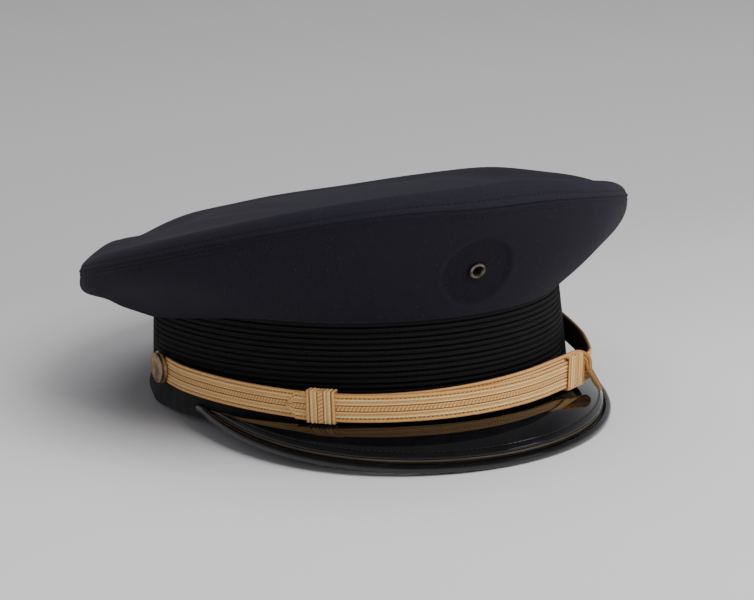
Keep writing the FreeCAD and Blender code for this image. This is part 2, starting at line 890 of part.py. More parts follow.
keeper_lift = value_of("strap_height / 2 + keeper_clearance + keeper_wall")
keeper_right_angle = -math.radians(size("keeper_right_angle"))
upright = Rotation(Vector(1, 0, 0), 90)
turn_to = Rotation(Vector(0, 0, 1), math.degrees(keeper_right_angle) - 90)
turned(
    "keeper_right",
    keeper_outlines("strap_front_radius", KEEPER_RISE),
    strap_frame * Placement(front_centre - Vector(0, 0, keeper_lift), turn_to * upright),
    "keeper_length / strap_front_radius * 180 / 3.14159265",
)

# The left keeper's sketch starts one keeper depth outside its own middle line.
KEEPER_OUT = "2 * strap_height"
keeper_place = leave_point + heading_at(leave_angle) * size("keeper_left_place")
keeper_left_turn = Rotation(Vector(0, 0, 1), math.degrees(leave_angle) - 90)
keeper_left_origin = keeper_place - facing(leave_angle) * value_of(KEEPER_OUT)
padded(
    "keeper_left",
    keeper_outlines(KEEPER_OUT, KEEPER_RISE + " + keeper_left_extra"),
    "keeper_length",
    strap_frame
    * Placement(keeper_left_origin - Vector(0, 0, keeper_lift), keeper_left_turn * upright),
)

# ---------------------------------------------------------------- side buttons

SHELL_SKIRT = "0.9"
PIN_LENGTH = 8.0
WASHER_RADIUS = 3.4
WASHER_THICKNESS = 0.3

# The left strap leans out towards its end, and the left button stands clear of it.
left_lean = size("button_radius") * math.cos(left_angle)
for side, prefix, strap_face in (
    (-1, "right_button", half_width - slip),
    (1, "left_button", half_width + strap_outer + left_lean),
):
    outward = Vector(side, 0, 0)
    hub_line = Vector(0, axis_y, axis_z)
    seat = strap_face + size("button_strap_gap")

    def on_axis(distance):
        """Placement on the button axis; the body's own +Y points out of the cap."""
        return Placement(hub_line + outward * distance, Rotation(Vector(0, 1, 0), outward))

    turned(
        prefix + "_shell",
        [[
            ("button_radius - button_shell_wall", "0"),
            ("button_radius", "0"),
            ("button_radius", SHELL_SKIRT, "dome"),
            ("0", "button_dome"),
            ("0", "button_dome - button_shell_wall", "dome"),
            ("button_radius - button_shell_wall", SHELL_SKIRT),
        ]],
        on_axis(seat),
    )
    turned(
        prefix + "_back",
        [[
            ("0", "0"),
            ("button_back_radius", "0"),
            ("button_back_radius", "button_back_thickness"),
            ("0", "button_back_thickness"),
        ]],
        on_axis(seat),
    )
    post_length = seat - size("post_end")
    post = primitive("Cylinder", prefix + "_post_rod", Radius="post_radius")
    post.Height = post_length
    pin_hole = primitive("Cylinder", prefix + "_pin_hole", Radius="pin_radius + 0.05")
    pin_hole.Height = 6
    pin_height = size("pin_place") - size("post_end")
    pin_hole.Placement = Placement(Vector(0, 3, pin_height), Rotation(Vector(1, 0, 0), 90))
    drilled = boolean("Cut", prefix + "_post", post, pin_hole)
    drilled.Placement = Placement(
        hub_line + outward * size("post_end"), Rotation(Vector(0, 0, 1), outward)
    )
    add_node(drilled, prefix + "_post")

    leg = primitive("Cylinder", prefix + "_pin_leg", Radius="pin_radius")
    leg.Height = PIN_LENGTH
    head = primitive("Sphere", prefix + "_pin_head", Radius="2 * pin_radius")
    head.Placement = Placement(Vector(0, 0, PIN_LENGTH), Rotation())
    pin = boolean("Fuse", prefix + "_retaining_pin", leg, head)
    pin.Placement = Placement(
        hub_line + outward * size("pin_place") - Vector(0, PIN_LENGTH / 2, 0),
        Rotation(Vector(0, 0, 1), Vector(0, 1, 0)),
    )
    add_node(pin, prefix + "_retaining_pin")

    turned(
        prefix + "_washer",
        [[
            ("post_radius + 0.1", "0"),
            (str(WASHER_RADIUS), "0"),
            (str(WASHER_RADIUS), str(WASHER_THICKNESS)),
            ("post_radius + 0.1", str(WASHER_THICKNESS)),
        ]],
        on_axis(size("pin_place") + size("pin_radius") + 0.1),
    )

# ---------------------------------------------------------------- rest the cap on the table

tip = visor_edge(0.0)
back_low = band_point(math.pi, band_low, -1.2)
rise = back_low.z - (tip.z - size("bead_radius"))
rest_tilt = math.degrees(math.atan2(rise, back_low.y - tip.y))
doc.recompute()
lean = Placement(Vector(), Rotation(Vector(1, 0, 0), -rest_tilt))
box = FreeCAD.BoundBox()
for node in nodes:
    node.Placement = lean * node.Placement
doc.recompute()
for node in nodes:
    box.add(node.Shape.optimalBoundingBox(False))
lift = Placement(Vector(-box.Center.x, -box.Center.y, -box.ZMin), Rotation())
for node in nodes:
    node.Placement = lift * node.Placement
doc.recompute()

# ---------------------------------------------------------------- check and write

for obj in doc.Objects:
    if "Invalid" in obj.State or "Error" in obj.State:
        raise RuntimeError("%s did not recompute: %s" % (obj.Label, obj.State))

os.makedirs("parts", exist_ok=True)
to_row = lift * lean
for node in nodes:
    shape = node.Shape
    if shape.isNull() or not shape.isValid():
        raise RuntimeError("%s has no valid shape" % node.Label)
    shape.exportStep("parts/%s.step" % node.Label)
    print("%-24s %2d solids %9.1f mm3" % (node.Label, len(shape.Solids), shape.Volume))
print("rest tilt %.3f degrees, lift %s" % (rest_tilt, lift.Base))
print("size", box.XLength, box.YLength, box.ZLength)
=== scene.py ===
import json
import math

import bmesh
import bpy
import numpy as np
from mathutils import Matrix, Vector


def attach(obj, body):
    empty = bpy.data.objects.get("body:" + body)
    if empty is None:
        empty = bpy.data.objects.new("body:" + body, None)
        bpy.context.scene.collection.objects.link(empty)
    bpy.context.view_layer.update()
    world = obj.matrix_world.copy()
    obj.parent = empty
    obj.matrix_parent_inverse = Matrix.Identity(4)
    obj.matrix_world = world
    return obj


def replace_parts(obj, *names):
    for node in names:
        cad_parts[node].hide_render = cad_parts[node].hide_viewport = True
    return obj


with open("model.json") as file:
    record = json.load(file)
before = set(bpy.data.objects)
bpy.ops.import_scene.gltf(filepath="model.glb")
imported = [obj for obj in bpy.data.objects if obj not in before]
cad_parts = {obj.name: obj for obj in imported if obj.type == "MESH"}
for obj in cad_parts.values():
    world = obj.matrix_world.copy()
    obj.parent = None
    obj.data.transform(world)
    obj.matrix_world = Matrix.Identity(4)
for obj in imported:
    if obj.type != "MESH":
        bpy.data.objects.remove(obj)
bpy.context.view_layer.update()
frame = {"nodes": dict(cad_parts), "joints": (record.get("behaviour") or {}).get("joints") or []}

# Looks for the peaked cap.  Shapes are worked out in the cap frame, in millimetres: +Z up the
# wearer's head, -Y to the front, z = 0 at the band's top.  to_row() turns them into the row frame.

joints = {joint["name"]: joint for joint in frame["joints"]}

# ---------------------------------------------------------------- sizes, in millimetres

BAND_FRONT, BAND_BACK, BAND_HALF = 122.8, 82.9, 88.0
BAND_MIDDLE_Y = 16.0
BAND_FLARE = 0.08
BAND_LOW = -44.5
BRAID_LOW = -41.6
BRAID_THICK = 1.6
ROLL_WIDTH = 7.1
CROWN_FRONT, CROWN_BACK, CROWN_HALF = 140.7, 124.8, 121.3
CROWN_MIDDLE_Y = 9.9
CROWN_SIDE, CROWN_FALL, CROWN_SADDLE = 21.6, 18.7, 8.5
CROWN_LEAN, CROWN_TWIST = 3.5, 4.5
CLOTH = 1.0
CLOTH_SKIN = CLOTH * 0.9
RIDGE_INSET, RIDGE_RISE = 6.1, 7.6
SEAM_DIP = 1.5
SEAM_DIP_PLACE = math.radians(2)
SEAM_DIP_WIDTH = math.radians(12)
CROWN_SAG = 3.0
OVERHANG_LEAST, OVERHANG_DEPTH = 0.4, 11.5
OVERHANG_START, OVERHANG_FULL = 52.0, 110.0
EYELET_HEIGHT = 19.7
EYELET_BORE = 2.15
BADGE_DISC_RADIUS = 16.0
STRAP_AXIS_Z = -30.6
STRAP_TILT = math.radians(2.38)
STRAP_HALF = 94.0
STRAP_REACH = 127.6
STRAP_FRONT_RADIUS = 82.0
STRAP_HEIGHT = 12.0
LACE_THICK, BACKING_THICK, SLIP = 0.8, 0.6, 0.1
LEAVE = math.radians(27.0)
STRAIGHT = 29.4
BEND_RADIUS = 12.0
BEND_END = math.radians(70.0)
TIP = -math.radians(59.5)
END_LENGTH = 7.5
KEEPER_LENGTH = 13.0
KEEPER_RIGHT = -math.radians(47.6)
KEEPER_LEFT_PLACE = 19.0
VISOR_HALF, VISOR_END_Y, VISOR_REACH = 89.7, -20.9, 111.0
VISOR_END_Z, VISOR_DROP = -43.8, 15.0
VISOR_TWIST, VISOR_SKEW = 1.3, 1.2
VISOR_THICK = 2.9
VISOR_ARCH = 6.5
# distances out from the band where the visor's arch starts and where it is whole, and the depth
# of visor below which it is lower
ARCH_START = 5.2
ARCH_FULL = 12.0
ARCH_NARROW = 32.0
BEAD_RADIUS = 1.8
BUTTON_RADIUS = 7.4

TURN = 2 * math.pi

# The cap rests tilted about X; the right keeper's axis stands square to the strap, which is
# itself tilted by STRAP_TILT, so that axis gives the tilt, and the swing's axis gives the place.
REST_TILT = math.asin(joints["right_keeper_slide"]["axis"][1]) + STRAP_TILT
REST_TURN = np.array(Matrix.Rotation(-REST_TILT, 3, "X"))
STRAP_TURN = np.array(Matrix.Rotation(STRAP_TILT, 3, "X"))
POST_MIDDLE = np.array([0.0, BAND_MIDDLE_Y, STRAP_AXIS_Z])
REST_PLACE = np.array(joints["chin_strap_swing"]["pos_m"]) * 1000 - REST_TURN @ POST_MIDDLE


def to_row(points):
    return (np.asarray(points, float) @ REST_TURN.T + REST_PLACE) / 1000


def from_strap(points):
    """Strap frame (on the side buttons' axis) to cap frame."""
    return np.asarray(points, float) @ STRAP_TURN.T + POST_MIDDLE


# ---------------------------------------------------------------- curves and surfaces of the cap

def blended(low, high, value):
    """0 below low, 1 above high, smooth between."""
    step = np.clip((value - low) / (high - low), 0, 1)
    return step * step * (3 - 2 * step)


def bell(offset, width):
    return np.exp(-(offset / width) ** 2)


def unit(vectors):
    return vectors / np.linalg.norm(vectors, axis=-1, keepdims=True)


def stacked(x, y, z):
    return np.stack(np.broadcast_arrays(x, y, z), -1).astype(float)


def signed(az):
    return (az + math.pi) % TURN - math.pi


def band_point(az, z, offset=0.0):
    length = np.where(np.cos(az) > 0, BAND_FRONT, BAND_BACK) + offset
    half = BAND_HALF - BAND_FLARE * z + offset
    return stacked(half * np.sin(az), BAND_MIDDLE_Y - length * np.cos(az), z)


def crown_height(az):
    cosine = np.cos(az)
    height = CROWN_SIDE + CROWN_FALL * cosine + CROWN_SADDLE * cosine ** 2
    height = height - SEAM_DIP * bell(signed(az) + SEAM_DIP_PLACE, SEAM_DIP_WIDTH)
    return height + CROWN_LEAN * np.sin(az) - CROWN_TWIST * np.sin(2 * az)


def rim_point(az, inset=0.0, rise=0.0):
    length = np.where(np.cos(az) > 0, CROWN_FRONT, CROWN_BACK) - inset
    x = (CROWN_HALF - inset) * np.sin(az)
    return stacked(x, CROWN_MIDDLE_Y - length * np.cos(az), crown_height(az) + rise)


def overhang(az):
    turn = np.degrees(np.abs(signed(az)))
    return OVERHANG_LEAST + OVERHANG_DEPTH * blended(OVERHANG_START, OVERHANG_FULL, turn)


def wall_point(az, share, inset=0.0):
    """Side wall of the crown: share 0 is its lower edge, share 1 the rim; inset goes inwards."""
    front = bell(signed(az), math.radians(25))
    reach, rise = 1.0 - 0.8 * front, 0.53 - 0.08 * front
    top, start = rim_point(az), band_point(az, -overhang(az), 0.03)
    height = top[..., 2] - start[..., 2]
    width = np.linalg.norm((top - start)[..., :2], axis=-1)
    lean = height * rise / np.hypot(height * rise, width * reach)
    start = band_point(az, -overhang(az), 0.03 + CLOTH * lean)
    outward = top - start
    outward[..., 2] = 0
    width = np.linalg.norm(outward, axis=-1)
    outward = unit(outward)
    pull = 2 * share * (1 - share)
    up = np.array([0.0, 0.0, 1.0])
    across = (width * (reach * (1 - 2 * share) + share))[..., None]
    along = (height * (rise * (1 - 2 * share) + share))[..., None]
    normal = unit(up * across - outward * along)
    weight = np.broadcast_to(np.asarray(share, float) ** 4, normal.shape[:-1])[..., None]
    normal = unit(normal * (1 - weight) - outward * weight)
    place = start + outward * (width * (pull * reach + share ** 2))[..., None]
    place = place + up * (height * (pull * rise + share ** 2))[..., None]
    return place + normal * np.asarray(inset, float)[..., None]


def ridge_wave(az):
    """How far the worn crown's edge stands off the even curve; bumps are (degrees, width, height)."""
    turn = np.degrees(signed(az))
    bumps = (
        (6, 16, 2.6), (-165, 9, 1.2), (-148, 7, -1.4), (-135, 7, 1.1),
        (-112, 12, -2.2), (68, 17, -3.7), (117, 13, 1.9), (155, 17, -1.9),
    )
    return sum(size * bell((turn - at + 180) % 360 - 180, width) for at, width, size in bumps)


def roll_point(az, turn, depth=0.0):
    inset = RIDGE_INSET * (1 - np.cos(turn)) + depth * np.cos(turn)
    lift = ridge_wave(az) * np.sin(turn)
    return rim_point(az, inset, (RIDGE_RISE - depth) * np.sin(turn) + lift)


def top_point(az, share, depth=0.0):
    ridge = roll_point(az, math.pi / 2, depth)
    level = CROWN_SIDE + CROWN_SADDLE / 2 + RIDGE_RISE - CROWN_SAG - depth
    x = ridge[..., 0] * share
    y = CROWN_MIDDLE_Y + (ridge[..., 1] - CROWN_MIDDLE_Y) * share
    return stacked(x, y, level + (ridge[..., 2] - level) * share ** 2)


def around(count):
    """A full turn of azimuths, as a column."""
    return (np.arange(count) * TURN / count)[:, None]


def lengths(points):
    """Distance along rows of points."""
    steps = np.linalg.norm(np.diff(points, axis=0), axis=-1)
    return np.concatenate([np.zeros((1,) + steps.shape[1:]), np.cumsum(steps, axis=0)])


# ---------------------------------------------------------------- meshes

def add_object(name, data):
    piece = bpy.data.objects.new(name, data)
    bpy.context.scene.collection.objects.link(piece)
    return piece


def make_mesh(name, points, faces, material, body, uv=None, tone=None):
    """A smooth mesh from cap-frame points; uv is in millimetres for each face corner."""
    mesh = bpy.data.meshes.new(name)
    mesh.from_pydata(to_row(points).tolist(), [], faces)
    if uv is not None:
        layer = mesh.uv_layers.new(name="weave")
        layer.data.foreach_set("uv", np.asarray(uv, np.float32).ravel())
    if tone is not None:
        layer = mesh.attributes.new("tone", "FLOAT", "POINT")
        layer.data.foreach_set("value", np.asarray(tone, np.float32).ravel())
    mesh.polygons.foreach_set("use_smooth", [True] * len(mesh.polygons))
    mesh.materials.append(material)
    piece = add_object(name, mesh)
    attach(piece, body)
    return piece


def sweep(name, rows, material, body, ring=False, along=None, across=None, tone=None):
    """Skin over stations that are each a closed loop of points: rows is (stations, loop, 3).

    along and across are the weave's coordinates.  The first and last stations are capped, unless
    the stations themselves run round in a ring.
    """
    stations, loop = rows.shape[:2]
    spans = stations if ring else stations - 1
    first, second = np.meshgrid(np.arange(spans), np.arange(loop), indexing="ij")
    ahead, beside = (first + 1) % stations, (second + 1) % loop
    corners = [(first, second), (ahead, second), (ahead, beside), (first, beside)]
    faces = np.stack([i * loop + j for i, j in corners], -1).reshape(-1, 4)
    if along is None:
        along = lengths(rows[:, :1])[:, 0]
    if across is None:
        across = lengths(rows.swapaxes(0, 1)[:, :1])[:, 0]
    along = np.broadcast_to(np.asarray(along, float).reshape(stations, -1), (stations, loop))
    across = np.broadcast_to(across, (stations, loop))
    uv = []
    for i, j in corners:
        u, v = along[i, j], across[i, j]
        # where a face closes the ring, its coordinates run on past the last ones
        if ring:
            u = np.where(i < first, along[-1, j] + along[1, j] - along[0, j], u)
        uv.append(np.stack([u, v], -1))
    uv = np.stack(uv, -2).reshape(-1, 2)
    faces = faces.tolist()
    if not ring:
        for station in (0, stations - 1):
            cap = [station * loop + step for step in range(loop)]
            faces.append(cap[::-1] if station else cap)
            uv = np.concatenate([uv, np.stack([along[station], across[station]], -1)])
    tones = None if tone is None else np.broadcast_to(tone, (stations, loop))
    return make_mesh(name, rows.reshape(-1, 3), faces, material, body, uv, tones)


def turned(name, profile, place, axis, material, body, count=96, relief=None):
    """Skin turned about an axis; profile is (radius, height) pairs from the back to the front.

    relief(radius, angle) adds to the height.
    """
    axis = unit(np.asarray(axis, float))
    side = unit(np.cross(axis, [0.0, 0.0, 1.0]))
    above = np.cross(side, axis)
    angle = around(count)
    radius, height = np.asarray(profile, float).T[:, None, :]
    if relief is not None:
        height = height + relief(radius, angle)
    rows = np.asarray(place) + axis * np.broadcast_to(height, (count, radius.shape[1]))[..., None]
    rows = rows + (side * np.cos(angle)[..., None] + above * np.sin(angle)[..., None]) * radius[..., None]
    return sweep(name, rows, material, body, ring=True, along=angle * 10)


def tube(line, heading, radius, sides):
    """Round cross-sections along a line; radius is one number, or one for each point."""
    side = unit(np.cross(heading, [0, 0, 1.0]))
    above = np.cross(side, heading)
    turn = around(sides)[:, 0]
    spokes = side[:, None] * np.cos(turn)[None, :, None] + above[:, None] * np.sin(turn)[None, :, None]
    return line[:, None] + spokes * np.broadcast_to(radius, len(line))[:, None, None]


def rounded(points, radius, steps=5):
    """A closed outline of (x, y) corners with each corner rounded."""
    points = np.asarray(points, float)
    result = []
    for corner, before, after in zip(points, np.roll(points, 1, 0), np.roll(points, -1, 0)):
        start = corner + unit(before - corner) * radius
        end = corner + unit(after - corner) * radius
        for share in np.linspace(0, 1, steps):
            pull = (1 - share) ** 2 * start + 2 * share * (1 - share) * corner + share ** 2 * end
            result.append(pull)
    return np.array(result)


def stitches(name, rows_of_points, material, body, length=2.0, gap=2.7, radius=0.2):
    """Sewing thread: one short plump stitch after another along each line of (points, normals)."""
    all_points, faces = [], []
    sides = 6
    profile = ((-0.5, 0.25, -1.2), (-0.36, 0.8, 0.0), (0.0, 1.0, 0.4), (0.36, 0.8, 0.0), (0.5, 0.25, -1.2))
    for points, normals in rows_of_points:
        run = lengths(points)
        marks = np.arange(gap / 2, run[-1] - gap / 2, gap)
        for mark in marks:
            spot, ahead, up = (
                np.array([np.interp(at, run, values[:, axis]) for axis in range(3)])
                for at, values in ((mark, points), (mark + 0.3, points), (mark, normals))
            )
            heading = unit(ahead - spot)
            side = unit(np.cross(up, heading))
            up = np.cross(heading, side)
            base = len(all_points)
            for place, thick, sink in profile:
                middle = spot + heading * (place * length) + up * (sink * radius)
                for step in range(sides):
                    turn = TURN * step / sides
                    spoke = side * math.cos(turn) + up * math.sin(turn)
                    all_points.append(middle + spoke * (radius * thick))
            for ring in range(len(profile) - 1):
                for step in range(sides):
                    low, high = base + ring * sides, base + (ring + 1) * sides
                    beside = (step + 1) % sides
                    faces.append((low + step, low + beside, high + beside, high + step))
            faces.append(tuple(base + step for step in reversed(range(sides))))
            last = base + (len(profile) - 1) * sides
            faces.append(tuple(last + step for step in range(sides)))
    return make_mesh(name, np.array(all_points), faces, material, body)


# ---------------------------------------------------------------- materials

class Finish:
    """A material being built: its Principled shader, and short ways to make and join nodes."""

    def __init__(self, name, **sockets):
        self.material = bpy.data.materials.new(name)
        self.material.use_nodes = True
        self.tree = self.material.node_tree
        self.shader = self.tree.nodes["Principled BSDF"]
        for socket, value in sockets.items():
            self.shader.inputs[socket.replace("_", " ")].default_value = value

    def feed(self, socket, value):
        """Link another node's output to the socket, or set the socket's own value."""
        if isinstance(value, bpy.types.NodeSocket):
            self.tree.links.new(value, socket)
        else:
            socket.default_value = value

    def node(self, kind, inputs=(), **settings):
        node = self.tree.nodes.new("ShaderNode" + kind)
        for key, value in settings.items():
            setattr(node, key, value)
        for key, value in dict(inputs).items():
            self.feed(node.inputs[key], value)
        return node

    def math(self, operation, first, second=0.0, third=0.0):
        inputs = {0: first, 1: second}
        if operation == "MULTIPLY_ADD":
            inputs[2] = third
        return self.node("Math", inputs, operation=operation).outputs[0]

    def weave(self):
        """The weave's two coordinates, in millimetres."""
        node = self.node("SeparateXYZ", {0: self.node("UVMap", uv_map="weave").outputs[0]})
        return node.outputs[0], node.outputs[1]

    def tone(self):
        """The shade that make_mesh was given for each point."""
        return self.node("Attribute", attribute_name="tone").outputs["Fac"]

    def stripes(self, u, v, pitch, angle):
        """Sine stripes across the weave; the lines run at the angle to u."""
        lean = self.math("MULTIPLY", u, -math.sin(angle) * TURN / pitch)
        phase = self.math("MULTIPLY_ADD", v, math.cos(angle) * TURN / pitch, lean)
        return self.math("SINE", phase)

    def noise(self, scale, detail=3.0, stretch=(1, 1, 1)):
        """Noise over the object, with its scale in repeats per metre."""
        spot = self.node("Mapping", {0: self.node("TexCoord").outputs["Object"], "Scale": stretch})
        noise = self.node("TexNoise", {"Vector": spot.outputs[0], "Scale": scale, "Detail": detail})
        return noise.outputs["Fac"]

    def ramp(self, factor, *stops):
        node = self.node("ValToRGB", {0: factor})
        elements = node.color_ramp.elements
        while len(elements) < len(stops):
            elements.new(0.5)
        for element, (place, colour) in zip(elements, stops):
            element.position = place
            element.color = (*colour, 1.0)
        return node.outputs[0]

    def mix(self, factor, first, second):
        node = self.node("Mix", data_type="RGBA")
        for index, value in ((0, factor), (6, first), (7, second)):
            self.feed(node.inputs[index], (*value, 1.0) if isinstance(value, tuple) else value)
        return node.outputs[2]

    def colour(self, socket):
        self.tree.links.new(socket, self.shader.inputs["Base Color"])

    def rough(self, factor, low, high):
        spread = self.math("MULTIPLY_ADD", factor, high - low, low)
        self.tree.links.new(spread, self.shader.inputs["Roughness"])

    def bump(self, *layers):
        """Each layer is (height, depth in millimetres)."""
        normal = None
        for height, depth in layers:
            node = self.node("Bump", {"Height": height, "Distance": depth / 1000, "Strength": 1.0})
            if normal is not None:
                self.tree.links.new(normal, node.inputs["Normal"])
            normal = node.outputs[0]
        self.tree.links.new(normal, self.shader.inputs["Normal"])


def scaled(colour, factor):
    return tuple(channel * factor for channel in colour)


def twill(name, colour, angle):
    """Wool twill: fine diagonal ribs, a soft nap, pale lint, and darker where it is pressed."""
    finish = Finish(name, Sheen_Weight=0.045, Sheen_Roughness=0.45, Specular_IOR_Level=0.1)
    finish.shader.inputs["Sheen Tint"].default_value = (0.78, 0.76, 0.84, 1.0)
    u, v = finish.weave()
    ribs = finish.stripes(u, v, 0.85, angle)
    threads = finish.stripes(u, v, 0.55, angle - math.radians(75))
    nap = finish.noise(900, 4)
    cloud = finish.noise(14, 3)
    height = finish.math("MULTIPLY_ADD", ribs, 0.5, 0.5)
    shade = finish.ramp(height, (0.1, scaled(colour, 0.66)), (0.9, scaled(colour, 1.36)))
    patches = finish.ramp(cloud, (0.35, (0, 0, 0)), (0.7, (0.5, 0.5, 0.5)))
    shade = finish.mix(patches, shade, scaled(colour, 1.15))
    pressed = finish.tone()
    shade = finish.mix(finish.math("MULTIPLY", pressed, 0.4), shade, scaled(colour, 0.45))
    lint = finish.ramp(finish.noise(1500, 1), (0.745, (0, 0, 0)), (0.765, (0.7, 0.7, 0.7)))
    finish.colour(finish.mix(lint, shade, (0.10, 0.10, 0.105)))
    finish.rough(nap, 0.75, 0.95)
    finish.bump((nap, 0.05), (threads, 0.012), (ribs, 0.03))
    return finish.material


def plain_cloth(name, colour, pitch=0.6, sheen=0.1):
    """Plain woven cloth."""
    finish = Finish(name, Sheen_Weight=sheen, Specular_IOR_Level=0.25)
    u, v = finish.weave()
    warp, weft = finish.stripes(u, v, pitch, 0.0), finish.stripes(u, v, pitch, math.pi / 2)
    weave = finish.math("MULTIPLY", warp, weft)
    cloud = finish.noise(60, 4)
    shade = finish.ramp(cloud, (0.3, scaled(colour, 0.75)), (0.7, scaled(colour, 1.3)))
    finish.colour(finish.mix(finish.math("MULTIPLY_ADD", weave, 0.25, 0.3), shade, scaled(colour, 0.6)))
    finish.rough(cloud, 0.8, 0.95)
    finish.bump((finish.noise(1200, 2), 0.03), (weave, 0.04))
    return finish.material


def braid_finish(name):
    """Mohair braid: black ribs with a fine knit across them; the crests are painted greyer as painted
    highlight and the grooves painted near black as painted shade.
    """
    finish = Finish(name, Sheen_Weight=0.02, Sheen_Roughness=0.4, Specular_IOR_Level=0.14)
    finish.shader.inputs["Sheen Tint"].default_value = (0.75, 0.70, 0.72, 1.0)
    u, v = finish.weave()
    leaning = finish.stripes(u, v, 0.9, math.radians(62))
    knit = finish.math("MULTIPLY", leaning, finish.stripes(u, v, 0.9, math.radians(118)))
    fuzz = finish.noise(1500, 3)
    crest = finish.tone()
    # the tone is each rib's height: painted shade in the grooves between the ribs, painted highlight on their
    # crests
    shade = finish.ramp(crest, (0.4, (0.0006, 0.0005, 0.0006)), (1.0, (0.0240, 0.0215, 0.0235)))
    finish.colour(finish.mix(finish.math("MULTIPLY_ADD", knit, 0.45, 0.35), shade, (0.0015, 0.0014, 0.0015)))
    finish.rough(fuzz, 0.65, 0.9)
    finish.bump((fuzz, 0.05), (knit, 0.10))
    return finish.material


def patent(name, grain=0.004, dull=0.07, coat=0.6):
    """Black patent leather: a hard clear gloss that is very slightly uneven."""
    finish = Finish(name, Coat_Weight=coat, Coat_Roughness=dull / 3, Specular_IOR_Level=0.5)
    film = finish.noise(140, 2)
    dust = finish.noise(900, 2)
    shade = finish.ramp(film, (0.35, (0.0035, 0.0035, 0.004)), (0.7, (0.006, 0.006, 0.007)))
    specks = finish.ramp(dust, (0.74, (0, 0, 0)), (0.78, (0.35, 0.35, 0.35)))
    finish.colour(finish.mix(specks, shade, (0.05, 0.05, 0.052)))
    finish.rough(film, dull / 3, dull)
    finish.bump((film, grain))
    return finish.material


def leather(name, colour, grain=0.08):
    finish = Finish(name, Specular_IOR_Level=0.4)
    spot = finish.node("TexCoord").outputs["Object"]
    cells = finish.node("TexVoronoi", {"Vector": spot, "Scale": 700.0}).outputs["Distance"]
    cloud = finish.noise(45, 5)
    shade = finish.ramp(cloud, (0.3, scaled(colour, 0.65)), (0.7, scaled(colour, 1.35)))
    pores = finish.ramp(cells, (0.0, (0.5, 0.5, 0.5)), (0.5, (0, 0, 0)))
    finish.colour(finish.mix(pores, shade, scaled(colour, 0.5)))
    finish.rough(cloud, 0.42, 0.65)
    finish.bump((cells, grain))
    return finish.material


def gold_lace(name):
    """Gold lace: bright laid cords between duller stitched and twisted threads; the tone paints shade into
    the grooves and cord edges and highlight onto the high cords, and the twist's hollows carry painted shade.
    """
    finish = Finish(name, Metallic=0.1, Specular_IOR_Level=0.5, Sheen_Weight=0.1)
    u, v = finish.weave()
    tone = finish.tone()
    mirrored = finish.math("ABSOLUTE", v)
    twist = finish.math("MULTIPLY_ADD", finish.stripes(u, v, 1.45, math.radians(60)), 0.5, 0.5)
    fine = finish.math("MULTIPLY_ADD", finish.stripes(u, v, 0.5, math.radians(65)), 0.5, 0.5)
    # painted shade and highlight: the tone runs from dark brown in the grooves to pale gold on the highest
    # cords
    shade = finish.ramp(
        tone,
        (0.0, (0.05, 0.018, 0.005)), (0.25, (0.42, 0.18, 0.045)),
        (0.55, (0.98, 0.52, 0.165)), (1.0, (1.0, 0.82, 0.42)),
    )
    worn = finish.ramp(finish.noise(55, 4), (0.35, (0, 0, 0)), (0.75, (0.3, 0.3, 0.3)))
    shade = finish.mix(worn, shade, (0.66, 0.34, 0.11))
    # painted shade in the twist's hollows, deeper on the middle cords
    middle = finish.math("LESS_THAN", mirrored, 1.15)
    depth = finish.math("MULTIPLY_ADD", middle, 0.5, 0.18)
    hollow = finish.math("MULTIPLY", finish.math("SUBTRACT", 1.0, twist), depth)
    finish.colour(finish.mix(hollow, shade, (0.34, 0.14, 0.035)))
    finish.rough(fine, 0.42, 0.6)
    finish.bump((fine, 0.035), (twist, 0.09))
    return finish.material


def metal(name, colour, roughness, tarnish, dull):
    """Metal with darker tarnish in patches and fine scratches."""
    finish = Finish(name, Metallic=0.75)
    patches = finish.noise(260, 5)
    scratches = finish.noise(500, 3, (1, 14, 1))
    finish.colour(finish.ramp(patches, (0.35, tarnish), (0.62, colour)))
    finish.rough(patches, dull, roughness)
    finish.bump((scratches, 0.006))
    return finish.material


def thread(name, colour):
    finish = Finish(name, Specular_IOR_Level=0.3, Sheen_Weight=0.1)
    fibre = finish.noise(1800, 2, (1, 1, 4))
    finish.colour(finish.ramp(fibre, (0.3, scaled(colour, 0.6)), (0.7, scaled(colour, 1.4))))
    finish.rough(fibre, 0.6, 0.85)
    finish.bump((fibre, 0.03))
    return finish.material


TWILL_TOP = twill("navy_twill_top", (0.0215, 0.0200, 0.0285), math.radians(90))
TWILL_SIDE = twill("navy_twill_side", (0.0142, 0.0132, 0.0198), math.radians(60))
BRAID = braid_finish("mohair_braid")
EDGE_CLOTH = plain_cloth("edge_cloth", (0.007, 0.007, 0.008))
LINING_CLOTH = plain_cloth("lining_cloth", (0.016, 0.016, 0.02), 0.4, 0.3)
FRAME_BOARD = plain_cloth("pressed_board", (0.12, 0.1, 0.075), 1.1, 0.0)
SWEAT_LEATHER = leather("sweatband_leather", (0.10, 0.052, 0.024))
# the strap's backing is painted paler than its leather as painted light, for the lamps' light that does not
# reach inside the strap's loop
STRAP_BACKING_PAINTED_LIGHT = leather("strap_backing_painted_light", (0.22, 0.13, 0.08), 0.04)
VISOR_LINING = leather("visor_lining_grain", (0.012, 0.012, 0.012), 0.06)
PATENT = patent("patent_leather")
BEAD_PATENT = patent("edge_binding_patent", grain=0.01, dull=0.22, coat=0.2)
LACE = gold_lace("gold_lace")
